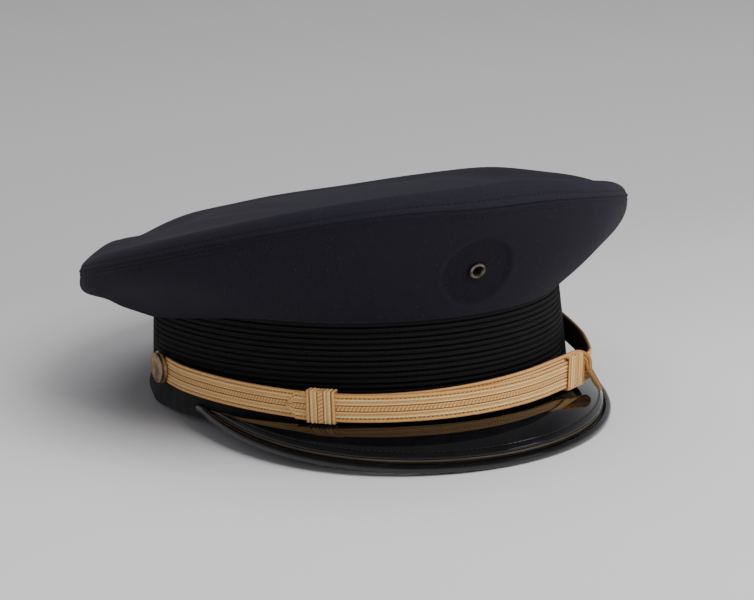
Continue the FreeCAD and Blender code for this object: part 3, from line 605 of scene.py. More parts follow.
# colour, its roughness, then the tarnish's colour and its roughness
BRASS = metal("aged_brass", (0.46, 0.30, 0.16), 0.34, (0.16, 0.09, 0.05), 0.5)
BRONZE = metal("eyelet_bronze", (0.22, 0.185, 0.15), 0.18, (0.05, 0.04, 0.03), 0.36)
STEEL = metal("bright_steel", (0.56, 0.56, 0.55), 0.3, (0.35, 0.34, 0.33), 0.45)
DARK_THREAD = thread("navy_thread", (0.004, 0.004, 0.006))
BLACK_THREAD = thread("black_thread", (0.02, 0.018, 0.017))
GOLD_THREAD = thread("gold_thread", (0.72, 0.42, 0.15))
TAN_THREAD = thread("tan_thread", (0.35, 0.22, 0.11))

# ---------------------------------------------------------------- crown

SEAM_STITCH = 2.6
TOP_STITCH = 2.6
RING_STATIONS = 900
WALL_SAMPLES = 84
RIDGE_ARC = RIDGE_RISE * 1.35


def eyelet_frame():
    """Place of the eyelet on the front of the wall, and its axis out of the crown."""
    shares = np.linspace(0, 1, 400)
    front = wall_point(np.zeros(400), shares)
    share = float(np.interp(EYELET_HEIGHT, front[:, 2], shares))
    near, far = wall_point(np.zeros(2), np.array([share - 0.01, share + 0.01]))
    slope = unit(far - near)
    return wall_point(np.zeros(1), np.array([share]))[0], np.array([0.0, -slope[2], slope[1]])


EYELET_PLACE, EYELET_AXIS = eyelet_frame()


def eyelet_distance(points):
    reach = points - EYELET_PLACE
    along = reach @ EYELET_AXIS
    distance = np.linalg.norm(reach - along[..., None] * EYELET_AXIS, axis=-1)
    return np.where(points[..., 1] < 0, distance, 999.0)


def side_relief(az, share, points):
    """How far the side cloth stands out of its even curve."""
    distance = eyelet_distance(points)
    disc = -0.55 * (1 - blended(BADGE_DISC_RADIUS - 1.2, BADGE_DISC_RADIUS + 1.0, distance))
    welt = 0.22 * bell(distance - BADGE_DISC_RADIUS - 1.6, 1.5)
    dimple = -0.4 * bell(distance, 5.0)
    low = np.sin(math.pi * share) ** 2
    waves = 0.8 * np.sin(5 * az + 0.6) + 0.5 * np.sin(11 * az + 2 * share) + 0.3 * np.sin(19 * az + 1.7)
    left = bell(np.degrees(signed(az)) + 112, 26)
    slack = left * (3.7 * bell(share - 0.67, 0.17) + 0.6 * bell(share - 0.3, 0.12))
    slack = slack + 1.5 * bell(np.degrees(signed(az)) - 66, 18) * np.sin(math.pi * share ** 1.15)
    back_seam = -0.45 * bell(signed(az + math.pi) * 95, 0.7)
    side = 1 - bell(signed(az), 0.5)
    return disc + welt + dimple + low * side * waves * 0.7 + slack + back_seam


def closed_rows(outer, inner):
    """Outer and inner faces joined into one loop at each station."""
    return np.concatenate([outer, inner[:, ::-1]], axis=1)


def crown_side():
    az = around(RING_STATIONS)
    share = np.linspace(0, 1, WALL_SAMPLES)[None, :]
    base = wall_point(az, share)
    run = lengths(base.swapaxes(0, 1)).T
    from_seam = run[:, -1:] - run
    groove = -0.16 * bell(from_seam - SEAM_STITCH, 0.45)
    relief = side_relief(az, share, base) + groove
    relief *= blended(0.0, 0.02, share) * blended(0.0, 0.03, 1 - share)
    outer = wall_point(az, share, -relief)
    inner = wall_point(az, share, CLOTH_SKIN - relief)
    arc = lengths(rim_point(az[:, 0], 8))
    rows = closed_rows(outer, inner)
    across = np.concatenate([run, run[:, ::-1] + 0.5], axis=1)
    pressed = 1 - blended(BADGE_DISC_RADIUS - 0.8, BADGE_DISC_RADIUS + 0.8, eyelet_distance(rows))
    piece = sweep("crown_side_cloth", rows, TWILL_SIDE, "cap", True, arc, across, pressed)
    # the cloth is cut away under the eyelet's flange
    mesh = piece.data
    middles = np.array([face.center for face in mesh.polygons]) * 1000
    middles = (middles - REST_PLACE) @ REST_TURN
    hit = np.flatnonzero(eyelet_distance(middles) < EYELET_BORE + 0.6)
    work = bmesh.new()
    work.from_mesh(mesh)
    work.faces.ensure_lookup_table()
    bmesh.ops.delete(work, geom=[work.faces[index] for index in hit], context="FACES")
    work.to_mesh(mesh)
    work.free()
    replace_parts(piece, "crown_side_panel")
    normals = unit(outer - inner)
    line_share = 1 - SEAM_STITCH / run[:, -1]
    column = np.clip((line_share * (WALL_SAMPLES - 1)).astype(int), 0, WALL_SAMPLES - 1)
    index = np.arange(RING_STATIONS)
    return outer[index, column], normals[index, column]


def crown_top():
    az = around(RING_STATIONS)
    turns = np.radians(np.linspace(3, 90, 30))[None, :]
    shares = 1 - np.linspace(0, 0.997, 70)[None, 1:] ** 0.85
    faces = []
    for depth in (0.0, CLOTH_SKIN):
        roll = roll_point(az, turns, depth)
        rise = RIDGE_ARC * turns / (math.pi / 2)
        groove = -0.35 * bell(rise - TOP_STITCH, 0.4) - 0.25 * bell(rise, 0.6)
        roll = roll + unit(roll - np.array([0, CROWN_MIDDLE_Y, 10.0])) * groove[..., None]
        top = top_point(az, shares, depth)
        ripple = 0.35 * np.sin(7 * az + 1) * shares ** 6 + 0.25 * np.sin(13 * az + 6 * shares) * shares ** 4
        dish = -1.6 * np.sin(math.pi * np.clip((1 - shares) * 3.2, 0, 1)) ** 2
        dish = dish * (0.6 + 0.4 * np.cos(az - 2.6))
        top[..., 2] += (ripple + dish) * blended(0, 0.06, 1 - shares)
        faces.append(np.concatenate([roll, top], axis=1))
    outer, inner = faces
    reach = lengths(outer.swapaxes(0, 1)).T
    radius = reach[:, -1:] - reach
    along, across = radius * np.sin(az), radius * np.cos(az)
    rows = closed_rows(outer, inner)
    along = np.concatenate([along, along[:, ::-1]], axis=1)
    across = np.concatenate([across, across[:, ::-1]], axis=1)
    piece = sweep("crown_top_cloth", rows, TWILL_TOP, "cap", True, along, across)
    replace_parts(piece, "crown_top_panel")
    normals = unit(outer - inner)
    column = int(np.argmin(np.abs(rise[0] - TOP_STITCH)))
    return outer[:, column], normals[:, column]


def seam_lip():
    """The folded edge of the side cloth that stands along the rim seam."""
    az = around(RING_STATIONS)
    outline = np.array([
        (0.55, -0.95), (0.0, -0.55), (-0.35, -0.1), (-0.3, 0.25), (0.05, 0.42), (0.7, 0.35), (0.9, -0.4),
    ])
    rows = rim_point(az, outline[None, :, 0] - 0.1, outline[None, :, 1] + 0.15)
    arc = lengths(rim_point(az[:, 0]))
    piece = sweep("crown_seam_lip", rows, TWILL_SIDE, "cap", True, arc)
    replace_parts(piece, "crown_welt")


def closed_line(line):
    points, normals = line
    return np.vstack([points, points[:1]]), np.vstack([normals, normals[:1]])


side_line = crown_side()
top_line = crown_top()
seam_lip()
stitches("crown_topstitching", [closed_line(side_line), closed_line(top_line)],
         DARK_THREAD, "cap", 1.7, 2.6, 0.17)


def crown_lining():
    az = around(240)
    faces = []
    for depth in (0.0, 0.5):
        foot, shoulder = band_point(az, 0.4, -5.5 - depth), rim_point(az, 14 + depth, -1.0 - depth)
        shares = np.linspace(0, 0.9, 14)[None, :, None]
        puckers = 0.35 * np.sin(40 * az + 1.0)[..., None] * np.sin(math.pi * shares)
        wall = foot + (shoulder - foot) * shares
        wall = wall + unit(wall * np.array([1, 1, 0]) - np.array([0, 12.0, 0])) * puckers
        shares = np.linspace(0.83, 0.01, 30)[None, :]
        faces.append(np.concatenate([wall, top_point(az, shares, 6.0 + depth)], axis=1))
    piece = sweep("crown_lining_cloth", closed_rows(*faces), LINING_CLOTH, "cap", True)
    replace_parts(piece, "crown_lining")


crown_lining()

GROMMET_RADIUS = 1.5
GROMMET_DEPTH = CLOTH + 2.9
GROMMET_TURN = math.radians(50)


def grommet():
    """The steel ring inside the crown's edge; it follows the worn edge."""
    line = roll_point(around(400)[:, 0], GROMMET_TURN, GROMMET_DEPTH)
    heading = unit(np.roll(line, -1, axis=0) - np.roll(line, 1, axis=0))
    rows = tube(line, heading, GROMMET_RADIUS, 16)
    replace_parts(sweep("crown_grommet", rows, STEEL, "cap", True), "grommet_ring")


grommet()

# ---------------------------------------------------------------- badge eyelet

def eyelet():
    bore, wall, flange = EYELET_BORE, EYELET_BORE + 0.45, 3.75
    profile = [
        (bore, -5.0), (wall, -5.0), (wall, 0.1), (flange - 0.4, 0.12), (flange, 0.35),
        (flange - 0.15, 0.62), (flange - 0.6, 0.85), (bore + 0.55, 0.85), (bore + 0.15, 0.6), (bore, 0.1),
    ]
    place = EYELET_PLACE + EYELET_AXIS * 0.1
    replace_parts(turned("eyelet_flange", profile, place, EYELET_AXIS, BRONZE, "cap"), "badge_eyelet")


eyelet()

# ---------------------------------------------------------------- band

RIB_PITCH = 2.4
RIB_DEPTH = 0.85
BRAID_STATIONS = 760


def braid_band():
    az = around(BRAID_STATIONS)
    z = np.linspace(BRAID_LOW, 0, 230)[None, :]
    phase = (z - 0.1 * np.sin(3 * az + 1) * np.sin(math.pi * z / BRAID_LOW)) / RIB_PITCH
    crest = np.abs(np.sin(math.pi * phase))
    within = (phase + 0.5) % 1
    middle = 0.2 * bell(within, 0.12) + 0.2 * bell(within - 1.0, 0.12)
    knit = 0.05 * np.sin(az * 260) * crest
    height = crest ** 0.75 - middle + knit
    outer = band_point(az, z, -RIB_DEPTH * (1 - height) - 0.02)
    back = np.linspace(BRAID_LOW, 0, 6)
    inner = band_point(az, back[None, :], -BRAID_THICK)
    rows = closed_rows(outer, inner)
    arc = lengths(band_point(az[:, 0], -20.0))
    across = np.concatenate([z[0], z[0, -1] + np.zeros(len(back))])
    # the tone carries the painted shade between the ribs and the painted highlight on their crests; the back
    # face is painted fully shaded
    tone = np.concatenate([np.clip(height, 0, 1), np.zeros((BRAID_STATIONS, len(back)))], axis=1)
    piece = sweep("braid_ribs", rows, BRAID, "cap", True, arc, across, tone)
    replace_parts(piece, "braid_band")


ROLL_SAG = 4.4


def edge_roll():
    """The cloth roll under the band; on the right side it has come down and bulges over the braid."""
    az = around(480)
    corners = [(0.0, BRAID_LOW), (0.0, BAND_LOW), (-ROLL_WIDTH, BAND_LOW), (-ROLL_WIDTH, BRAID_LOW)]
    outline = np.concatenate([np.linspace((-0.4, BRAID_LOW), (0.0, BRAID_LOW), 3)[:2],
                              np.linspace(corners[0], (0.0, BAND_LOW + 1.3), 6),
                              rounded(corners, 1.25, 7)[8:21], [corners[3]]])
    across, z = outline.T[:, None, :]
    loose = np.exp(-((np.degrees(signed(az)) + 84) / 34) ** 4)
    low = (BRAID_LOW - z) / (BRAID_LOW - BAND_LOW)
    outside = (across > -1.0) * 1.0
    z = z + loose * (5.2 * (1 - low) * outside - ROLL_SAG * low)
    bulge = loose * outside * (1.9 * np.sin(math.pi * np.clip(low * 0.8 + 0.12, 0, 1)) - 0.4 * (low < 0.02))
    crumple = 0.25 * np.sin(23 * az + 3 * low) * loose * outside
    ripple = 0.08 * np.sin(90 * az) * (low > 0.2)
    rows = band_point(az, z, across + bulge + crumple + ripple)
    piece = sweep("band_edge_cloth", rows, EDGE_CLOTH, "cap", True)
    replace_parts(piece, "band_edge_roll")


SWEATBAND_HEIGHT = 34
SWEATBAND_OUTER, SWEATBAND_INNER = -5.9, -6.95
SWEATBAND_STITCH = 3.0


def sweatband():
    az = around(360)
    low, high = BRAID_LOW, BRAID_LOW + SWEATBAND_HEIGHT
    stitched = low + SWEATBAND_STITCH
    z = np.linspace(low, high, 40)[None, :]
    outer = band_point(az, z, SWEATBAND_OUTER)
    roll = 0.5 * bell(z - high, 1.2) + 0.35 * bell(z - low, 1.5)
    crease = 0.25 * bell(z - low - SWEATBAND_STITCH, 0.5)
    inner = band_point(az, z, SWEATBAND_INNER - roll + crease)
    piece = sweep("sweatband_leather", closed_rows(outer, inner), SWEAT_LEATHER, "cap", True)
    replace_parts(piece, "sweatband")
    line = band_point(az[:, 0], stitched, SWEATBAND_INNER + 0.2)
    inward = unit(np.array([0, BAND_MIDDLE_Y, stitched]) - line)
    stitches("sweatband_stitching", [closed_line((line, inward))],
             TAN_THREAD, "cap", 2.4, 3.4, 0.22)


braid_band()
edge_roll()
sweatband()

# ---------------------------------------------------------------- visor

ROOT_SPAN, EDGE_SPAN = math.radians(72), math.radians(89.3)
ROOT_OFFSET = -4.4


def visor_edge(share):
    turn = EDGE_SPAN * share
    across, ahead = np.sin(turn), np.cos(turn) ** 0.82
    return stacked(
        VISOR_HALF * across,
        VISOR_END_Y - VISOR_REACH * ahead + VISOR_SKEW * across,
        VISOR_END_Z - VISOR_DROP * np.cos(turn) ** 0.66 - VISOR_TWIST * across,
    )


def visor_point(share, place, level):
    """Point of the visor: place 0 at the band, 1 at the bead's middle; level is above its top face."""
    root = band_point(ROOT_SPAN * share, BAND_LOW - 0.05, ROOT_OFFSET)
    edge = visor_edge(share)
    edge[..., 2] += VISOR_THICK / 2
    run = edge - root
    flat = np.hypot(run[..., 0], run[..., 1])
    rise = VISOR_ARCH * (1 - np.abs(2 * place - 1) ** 3) * blended(ARCH_START, ARCH_FULL, place * flat)
    result = root + run * np.asarray(place)[..., None]
    result[..., 2] += rise * np.minimum(1.0, flat / ARCH_NARROW) + level
    return result


def visor_reach(share):
    root, edge = band_point(ROOT_SPAN * share, BAND_LOW, ROOT_OFFSET), visor_edge(share)
    return np.hypot(edge[..., 0] - root[..., 0], edge[..., 1] - root[..., 1])


STRIP_WIDTH = 3.2
STRIP_STITCH = 0.7
SAMPLES = np.linspace(0, 1, 90)


def last_place(share):
    """Where the visor's layers end, against the bead."""
    return 1 - np.minimum(0.45, (BEAD_RADIUS + 0.05) / visor_reach(share))


def place_inside(share, distance):
    """Place whose distance to the bead, measured on the visor's face, is the one asked for."""
    last = last_place(share)
    faces = visor_point(share[:, None], last[:, None] * SAMPLES, 0.0)
    places = []
    for end, run in zip(last, lengths(faces.swapaxes(0, 1)).T):
        places.append(end * np.interp(max(run[-1] * 0.3, run[-1] - distance), run, SAMPLES))
    return np.array(places)


def visor_slab(name, node, high, low, material, first=None, level=lambda inside: 0.0):
    """One layer of the visor; level(distance to the bead) adds to its top face."""
    share = np.sin(np.linspace(-math.pi / 2, math.pi / 2, 220)) * 0.5 + np.linspace(-0.5, 0.5, 220)
    last = last_place(share)[:, None]
    start = np.zeros_like(last) if first is None else place_inside(share, first)[:, None]
    share = share[:, None]
    reach = visor_reach(share)
    steps = np.linspace(0, 1, 60)[None, :]
    place = start + (last - start) * steps
    faces = visor_point(share, place, 0.0)
    run = lengths(faces.swapaxes(0, 1)).T
    distance = run[:, -1:] - run
    crown = 0.12 * (1 - np.exp(-distance / 0.25))
    under_band = blended(5.5, 3.0, place * reach) * 0.5
    outer = visor_point(share, place, high - 0.12 + crown + level(distance) - under_band * (high == 0))
    inner = visor_point(share, place, low + 0 * place)
    rows = closed_rows(outer, inner)
    piece = sweep(name, rows, material, "cap")
    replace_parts(piece, node)


def visor_bead():
    """The binding round the visor's edge; its ends run on along the band."""
    share = np.linspace(-1, 1, 240)
    line = visor_edge(np.sin(share * math.pi / 2) * 0.5 + share * 0.5)
    back = np.array([0.0, 1.0, 0.04])
    steps = np.arange(1, 9)[:, None] * 0.9
    line = np.vstack([line[0] + back * steps[::-1], line, line[-1] + back * steps])
    heading = unit(np.gradient(line, axis=0))
    run = lengths(line)
    taper = np.minimum(1, np.minimum(run, run[-1] - run) / 1.5 + 0.35)
    rows = tube(line, heading, BEAD_RADIUS * taper, 20)
    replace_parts(sweep("visor_edge_binding", rows, BEAD_PATENT, "cap"), "visor_edge_bead")


def visor_lines():
    """Stitching along the strip's inner edge, on the top side and on the underside."""
    share = np.linspace(-0.93, 0.93, 300)
    place = place_inside(share, STRIP_WIDTH - STRIP_STITCH)
    rows = []
    for level, out in ((0.3, 1.0), (-VISOR_THICK, -1.0)):
        rows.append((visor_point(share, place, level), np.tile([0.0, 0.0, out], (len(share), 1))))
    stitches("visor_stitching", rows, BLACK_THREAD, "cap", 1.8, 2.4, 0.17)


visor_slab("visor_patent_top", "visor_top", 0.0, -0.78, PATENT)
visor_slab("visor_core_board", "visor_core", -0.8, -2.18, FRAME_BOARD)
visor_slab("visor_lining_skin", "visor_underside", -2.2, -VISOR_THICK, VISOR_LINING)
visor_slab("visor_border", "visor_edge_strip", 0.3, 0.0, BEAD_PATENT, STRIP_WIDTH,
           lambda distance: -0.16 * bell(distance - STRIP_WIDTH + STRIP_STITCH, 0.3))
visor_bead()
visor_lines()

# ---------------------------------------------------------------- chin strap

# Cords across the lace from one edge to its middle: (width, height, tone, rounded); the tone is painted shade
# and highlight, low in the grooves and high on the raised cords
LACE_HALF = (
    (1.45, 0.46, 0.55, True), (0.45, 0.04, 0.1, False), (0.95, 0.62, 1.0, True), (0.95, 0.26, 0.5, True),
    (0.75, 0.52, 0.92, True), (0.3, 0.0, 0.05, False), (1.15, 0.44, 0.66, True),
)


LACE_TOTAL = sum(cord[0] for cord in LACE_HALF)


def lace_profile(samples=6):
    """(place, height, tone) across the lace, from -1 to 1; the tone is painted shade, darker towards each
    rounded cord's edges.
    """
    marks, at = [], -LACE_TOTAL
    for width, height, tone, is_round in LACE_HALF:
        for step in range(samples):
            share = (step + 0.5) / samples
            bulge = math.sqrt(max(0.0, 1 - (2 * share - 1) ** 2)) if is_round else 1.0
            marks.append(((at + width * share) / LACE_TOTAL, height * bulge, tone * (0.55 + 0.45 * bulge)))
        at += width
    marks = np.array(marks)
    mirror = marks[::-1] * np.array([-1, 1, 1])
    return np.concatenate([marks, mirror])


PROFILE = lace_profile()


def facing(angle):
    return stacked(np.sin(angle), -np.cos(angle), 0.0 * np.asarray(angle))


def heading_at(angle):
    return stacked(np.cos(angle), np.sin(angle), 0.0 * np.asarray(angle))


def sampled_path(pieces, step=0.4):
    """Points on a path and the angle it faces; pieces are ("arc", centre, radius, first, last) or
    ("run", start, angle, length)."""
    points, angles = [], []
    for kind, place, first, second, *rest in pieces:
        if kind == "arc":
            count = max(3, int(first * abs(rest[0] - second) / step))
            angle = np.linspace(second, rest[0], count)
            points.append(place + facing(angle) * first)
        else:
            count = max(3, int(second / step))
            angle = np.full(count, first)
            points.append(place + heading_at(angle) * np.linspace(0, second, count)[:, None])
        angles.append(angle)
    points, angles = np.concatenate(points), np.concatenate(angles)
    keep = np.concatenate([[True], np.linalg.norm(np.diff(points, axis=0), axis=1) > 0.05])
    return points[keep], angles[keep]


FRONT_CENTRE = np.array([0.0, STRAP_FRONT_RADIUS - STRAP_REACH, 0.0])
SIDE_GAP = STRAP_HALF - STRAP_FRONT_RADIUS
SIDE_RADIUS = (STRAP_HALF ** 2 + FRONT_CENTRE[1] ** 2 - STRAP_FRONT_RADIUS ** 2) / (2 * SIDE_GAP)
SIDE_CENTRE = np.array([SIDE_RADIUS - STRAP_HALF, 0.0, 0.0])
JOIN = -math.atan2(SIDE_CENTRE[0], -FRONT_CENTRE[1])
LEAVE_POINT = FRONT_CENTRE + facing(np.array(LEAVE)) * STRAP_FRONT_RADIUS
STRAIGHT_RUN = ("run", LEAVE_POINT, LEAVE, STRAIGHT)
BEND_START = LEAVE_POINT + heading_at(np.array(LEAVE)) * STRAIGHT
BEND_CENTRE = BEND_START - facing(np.array(LEAVE)) * BEND_RADIUS
BEND_FINISH = BEND_CENTRE + facing(np.array(BEND_END)) * BEND_RADIUS
LEFT_POST = np.array([STRAP_HALF, 0.0, 0.0])
CHORD = LEFT_POST - BEND_FINISH
BACK_RADIUS = float(CHORD @ CHORD / (-2 * (facing(np.array(BEND_END)) @ CHORD)))
BACK_CENTRE = BEND_FINISH - facing(np.array(BEND_END)) * BACK_RADIUS
LEFT_ANGLE = math.atan2(*((LEFT_POST - BACK_CENTRE)[:2] * np.array([1, -1])))


def strap(name, points, across, face, near, far, half, nodes):
    """A strap's lace and its backing along a path in the strap frame.

    across and face are each station's directions up the strap's width and out of its lace; near
    and far are offsets of the backing's and the lace's faces, and half is the half width.
    """
    run = lengths(points)
    split = far - LACE_THICK
    relief = (PROFILE[:, 1] - PROFILE[:, 1].max() + 0.15)[None, :, None]
    cord = PROFILE[:, 0] * STRAP_HEIGHT / 2
    twist = 0.09 * np.sin(TURN * (run[:, None] + cord / 1.7) / 1.68) * (np.abs(cord) < 1.1)
    twist = twist[..., None]
    flat = np.linspace(-1, 1, 8)
    for suffix, low, high, bumpy, material, slot, node in (
        ("_lace", split, far, True, LACE, "gold_lace", nodes[0]),
        ("_backing", near, split, False, STRAP_BACKING_PAINTED_LIGHT, "strap_backing", nodes[1]),
    ):
        width = half[:, None, None] * (1.0 if bumpy else 0.97)
        places = PROFILE[:, 0] if bumpy else np.linspace(-1, 1, 12)
        outer = points[:, None] + across[:, None] * places[None, :, None] * width
        outer = outer + face[:, None] * (high - 0.02 + (relief + twist if bumpy else 0.0))
        inner = points[:, None] + across[:, None] * flat[None, :, None] * width + face[:, None] * (low + 0.02)
        rows = from_strap(closed_rows(outer, inner))
        reach = np.concatenate([places, flat[::-1]]) * STRAP_HEIGHT / 2
        # the lace's tone paints shade and highlight across its cords; the inside is painted shaded
        tone = np.concatenate([PROFILE[:, 2], np.full(len(flat), 0.3)]) if bumpy else None
        piece = sweep(name + suffix, rows, material, "chin_strap", False, run, reach, tone)
        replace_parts(piece, node)
    lines = []
    for sign in (-1, 1):
        place = sign * (1 - (LACE_HALF[0][0] + LACE_HALF[1][0] / 2) / LACE_TOTAL)
        line = points + across * (half * place)[:, None] + face * (far - 0.24)
        lines.append((from_strap(line[3:-3]), face[3:-3] @ STRAP_TURN.T))
    stitches(name + "_stitching", lines, GOLD_THREAD, "chin_strap", 1.15, 1.9, 0.24)


def upright_frames(points, angles, lift):
    """Stations standing upright on a path, raised by lift: points, across and face."""
    up = np.tile([0.0, 0.0, 1.0], (len(points), 1))
    return points + up * lift[:, None], up, facing(angles)


HALF = STRAP_HEIGHT / 2
PEEK = 2.4
BUTTON_DRAW = 2.1
TAIL_LENGTH = 17.5
TAIL_STATIONS = 44
TAIL_START = 2.0
TAIL_HEADING = (0.42, -0.20, -0.885)
TAIL_FACE = (-0.90, 0.22, -0.32)


def right_strap():
    path = [
        ("run", np.array([-STRAP_HALF, END_LENGTH, 0.0]), -math.pi / 2, END_LENGTH),
        ("arc", SIDE_CENTRE, SIDE_RADIUS, -math.pi / 2, JOIN),
        ("arc", FRONT_CENTRE, STRAP_FRONT_RADIUS, JOIN, LEAVE),
        ("run", LEAVE_POINT, LEAVE, KEEPER_LEFT_PLACE + KEEPER_LENGTH / 2 - TAIL_START),
    ]
    points, angles = sampled_path(path)
    run = lengths(points)
    # the button draws the strap's end in to the band
    drawn = -BUTTON_DRAW * blended(34.0, 4.0, run)
    points = points + facing(angles) * drawn[:, None]
    # the station under the right keeper; the first ones, beside the button, don't count
    keeper = int(np.argmin(np.abs(angles - KEEPER_RIGHT) + 9 * (np.arange(len(angles)) < 20)))
    lift = PEEK * blended(run[keeper] + 12, run[-1] - 20, run)
    lift = lift - 0.5 * blended(30, 0, run)
    half = HALF * np.minimum(1, np.sqrt(np.clip(run / 4.0, 0.25, 1)))
    points, across, face = upright_frames(points, angles, lift)
    # from just inside the left keeper the end twists edge on and drops towards the visor
    first = Matrix((heading_at(LEAVE), across[-1], face[-1])).transposed().to_quaternion()
    down = Vector(TAIL_HEADING).normalized()
    out = (Vector(TAIL_FACE) - down * down.dot(Vector(TAIL_FACE))).normalized()
    last = Matrix((down, out.cross(down), out)).transposed().to_quaternion()
    tail, place = [], points[-1]
    for step in range(1, TAIL_STATIONS + 1):
        turn = first.slerp(last, float(blended(0.0, 0.34, step / TAIL_STATIONS))).to_matrix()
        place = place + np.array(turn.col[0]) * (TAIL_LENGTH / TAIL_STATIONS)
        tail.append((place, np.array(turn.col[1]), np.array(turn.col[2])))
    tail = np.array(tail)
    steps = np.arange(1, TAIL_STATIONS + 1) / TAIL_STATIONS
    tip = HALF * np.sqrt(np.clip((1.02 - steps) / 0.2, 0.04, 1))
    points = np.vstack([points, tail[:, 0]])
    across, face = np.vstack([across, tail[:, 1]]), np.vstack([face, tail[:, 2]])
    strap("strap_right", points, across, face, -SLIP - LACE_THICK - BACKING_THICK, -SLIP,
          np.concatenate([half, tip]), ("strap_right", "strap_right_lining"))


def left_strap():
    path = [
        ("arc", FRONT_CENTRE, STRAP_FRONT_RADIUS, TIP, LEAVE),
        STRAIGHT_RUN,
        ("arc", BEND_CENTRE, BEND_RADIUS, LEAVE, BEND_END),
        ("arc", BACK_CENTRE, BACK_RADIUS, BEND_END, LEFT_ANGLE),
        ("run", LEFT_POST, LEFT_ANGLE, END_LENGTH),
    ]
    points, angles = sampled_path(path)
    run = lengths(points)
    bend = STRAP_FRONT_RADIUS * (LEAVE - TIP) + STRAIGHT
    lift = 3.6 * blended(bend - 2, bend + 26, run) * blended(run[-1] - 12, run[-1] - 50, run)
    pointed = np.clip(run / 4.7, 0.05, 1)
    blunt = np.sqrt(np.clip((run[-1] - run) / 5.0, 0.05, 1))
    half = HALF * np.minimum(1, np.minimum(pointed, blunt))
    points, across, face = upright_frames(points, angles, lift)
    strap("strap_left", points, across, face, SLIP, SLIP + BACKING_THICK + LACE_THICK, half,
          ("strap_left", "strap_left_lining"))


right_strap()
left_strap()

# ---------------------------------------------------------------- keepers

KEEPER_DEPTH = SLIP + LACE_THICK + BACKING_THICK + 0.35
KEEPER_WALL = 0.9


def subdivided(outline):
    """A closed outline with eight steps along each of its sides."""
    return np.concatenate([np.linspace(a, b, 9)[:-1] for a, b in zip(outline, np.roll(outline, -1, 0))])


def keeper(name, place_of, low, high, body, slant=0.0):
    """A loop of lace round the strap; place_of(along, offset, height) is in the strap frame."""
    spread = np.array([(-1, -1), (1, -1), (1, 1), (-1, 1)])
    corners = [(sign * KEEPER_DEPTH, low if rise < 0 else high) for sign, rise in spread]
    outline = rounded(corners, 0.8, 6)
    corner = np.repeat(spread, 6, axis=0)
    shell = subdivided(outline + corner * KEEPER_WALL * 0.75)
    hollow = subdivided(outline)
    outward = unit(shell - hollow)
    half = KEEPER_LENGTH / 2
    profile = PROFILE[::2]
    along = profile[:, 0] * half
    bumps = 0.9 * (profile[:, 1] - profile[:, 1].max())
    skin = shell[:, None] + outward[:, None] * (KEEPER_WALL * 0.25 + bumps)[None, :, None]
    flat = np.linspace(half, -half, 5) * 0.96
    inside = np.repeat(hollow[:, None] + outward[:, None] * 0.03, 5, axis=1)
    loop = np.concatenate([skin, inside], axis=1)
    run = np.broadcast_to(np.concatenate([along, flat]), loop.shape[:2])
    lean = slant * (loop[..., 1] - low) / (high - low)
    rows = from_strap(place_of(run + lean, loop[..., 0], loop[..., 1]))
    # the tone paints shade and highlight across the cords; the inside of the loop is painted shaded
    tone = np.concatenate([profile[:, 2], np.full(5, 0.25)])
    across = np.concatenate([along, flat])
    piece = sweep(name + "_lace", rows, LACE, body, True, lengths(shell), across, tone)
    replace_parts(piece, name)


def on_front_arc(along, offset, height):
    angle = KEEPER_RIGHT + along / STRAP_FRONT_RADIUS
    return FRONT_CENTRE + facing(angle) * (STRAP_FRONT_RADIUS + offset)[..., None] + stacked(0, 0, height)


def on_straight(along, offset, height):
    heading, out = heading_at(np.array(LEAVE)), facing(np.array(LEAVE))
    place = LEAVE_POINT + heading * (KEEPER_LEFT_PLACE + along)[..., None]
    return place + out * offset[..., None] + stacked(0, 0, height)


keeper("keeper_right", on_front_arc, -HALF - 0.1, HALF + 0.8, "right_keeper")
keeper("keeper_left", on_straight, -HALF - 0.2, HALF + 0.8, "left_keeper", 1.6)


def frayed_end():
    """Loose ends of thread at the top corner of the right keeper."""
    rows = []
    rng = np.random.default_rng(7)
    for _ in range(16):
        start = np.array([-KEEPER_LENGTH / 2, KEEPER_DEPTH + 0.8, HALF])
        start[0] += rng.uniform(-0.2, 1.0)
        start[2] += rng.uniform(-1.6, 0.4)
        sweep_out = np.array([-rng.uniform(1.2, 3.0), rng.uniform(0.0, 0.7), rng.uniform(-0.8, 0.9)])
        steps = np.linspace(0, 1, 7)[:, None]
        bow = np.sin(steps * math.pi) * rng.uniform(-0.5, 0.5, 3)
        line = start + sweep_out * steps + bow
        points = from_strap(on_front_arc(line[:, 0], line[:, 1], line[:, 2]))
        rows.append((points, np.tile([0.0, 0.0, 1.0], (7, 1))))
    stitches("keeper_frayed_threads", rows, GOLD_THREAD, "right_keeper", 1.1, 0.7, 0.09)


frayed_end()

# ---------------------------------------------------------------- side buttons

def button_relief(radius, angle):
    """A plain rosette: low petals round a boss, inside a ring of fine beads."""
    petals = 0.28 * np.cos(8 * angle) * bell(radius - 3.0, 1.1)
    beads = 0.10 * np.cos(40 * angle) * bell(radius - 6.6, 0.3)
    boss = 0.35 * bell(radius, 0.9)
    return petals + beads + boss


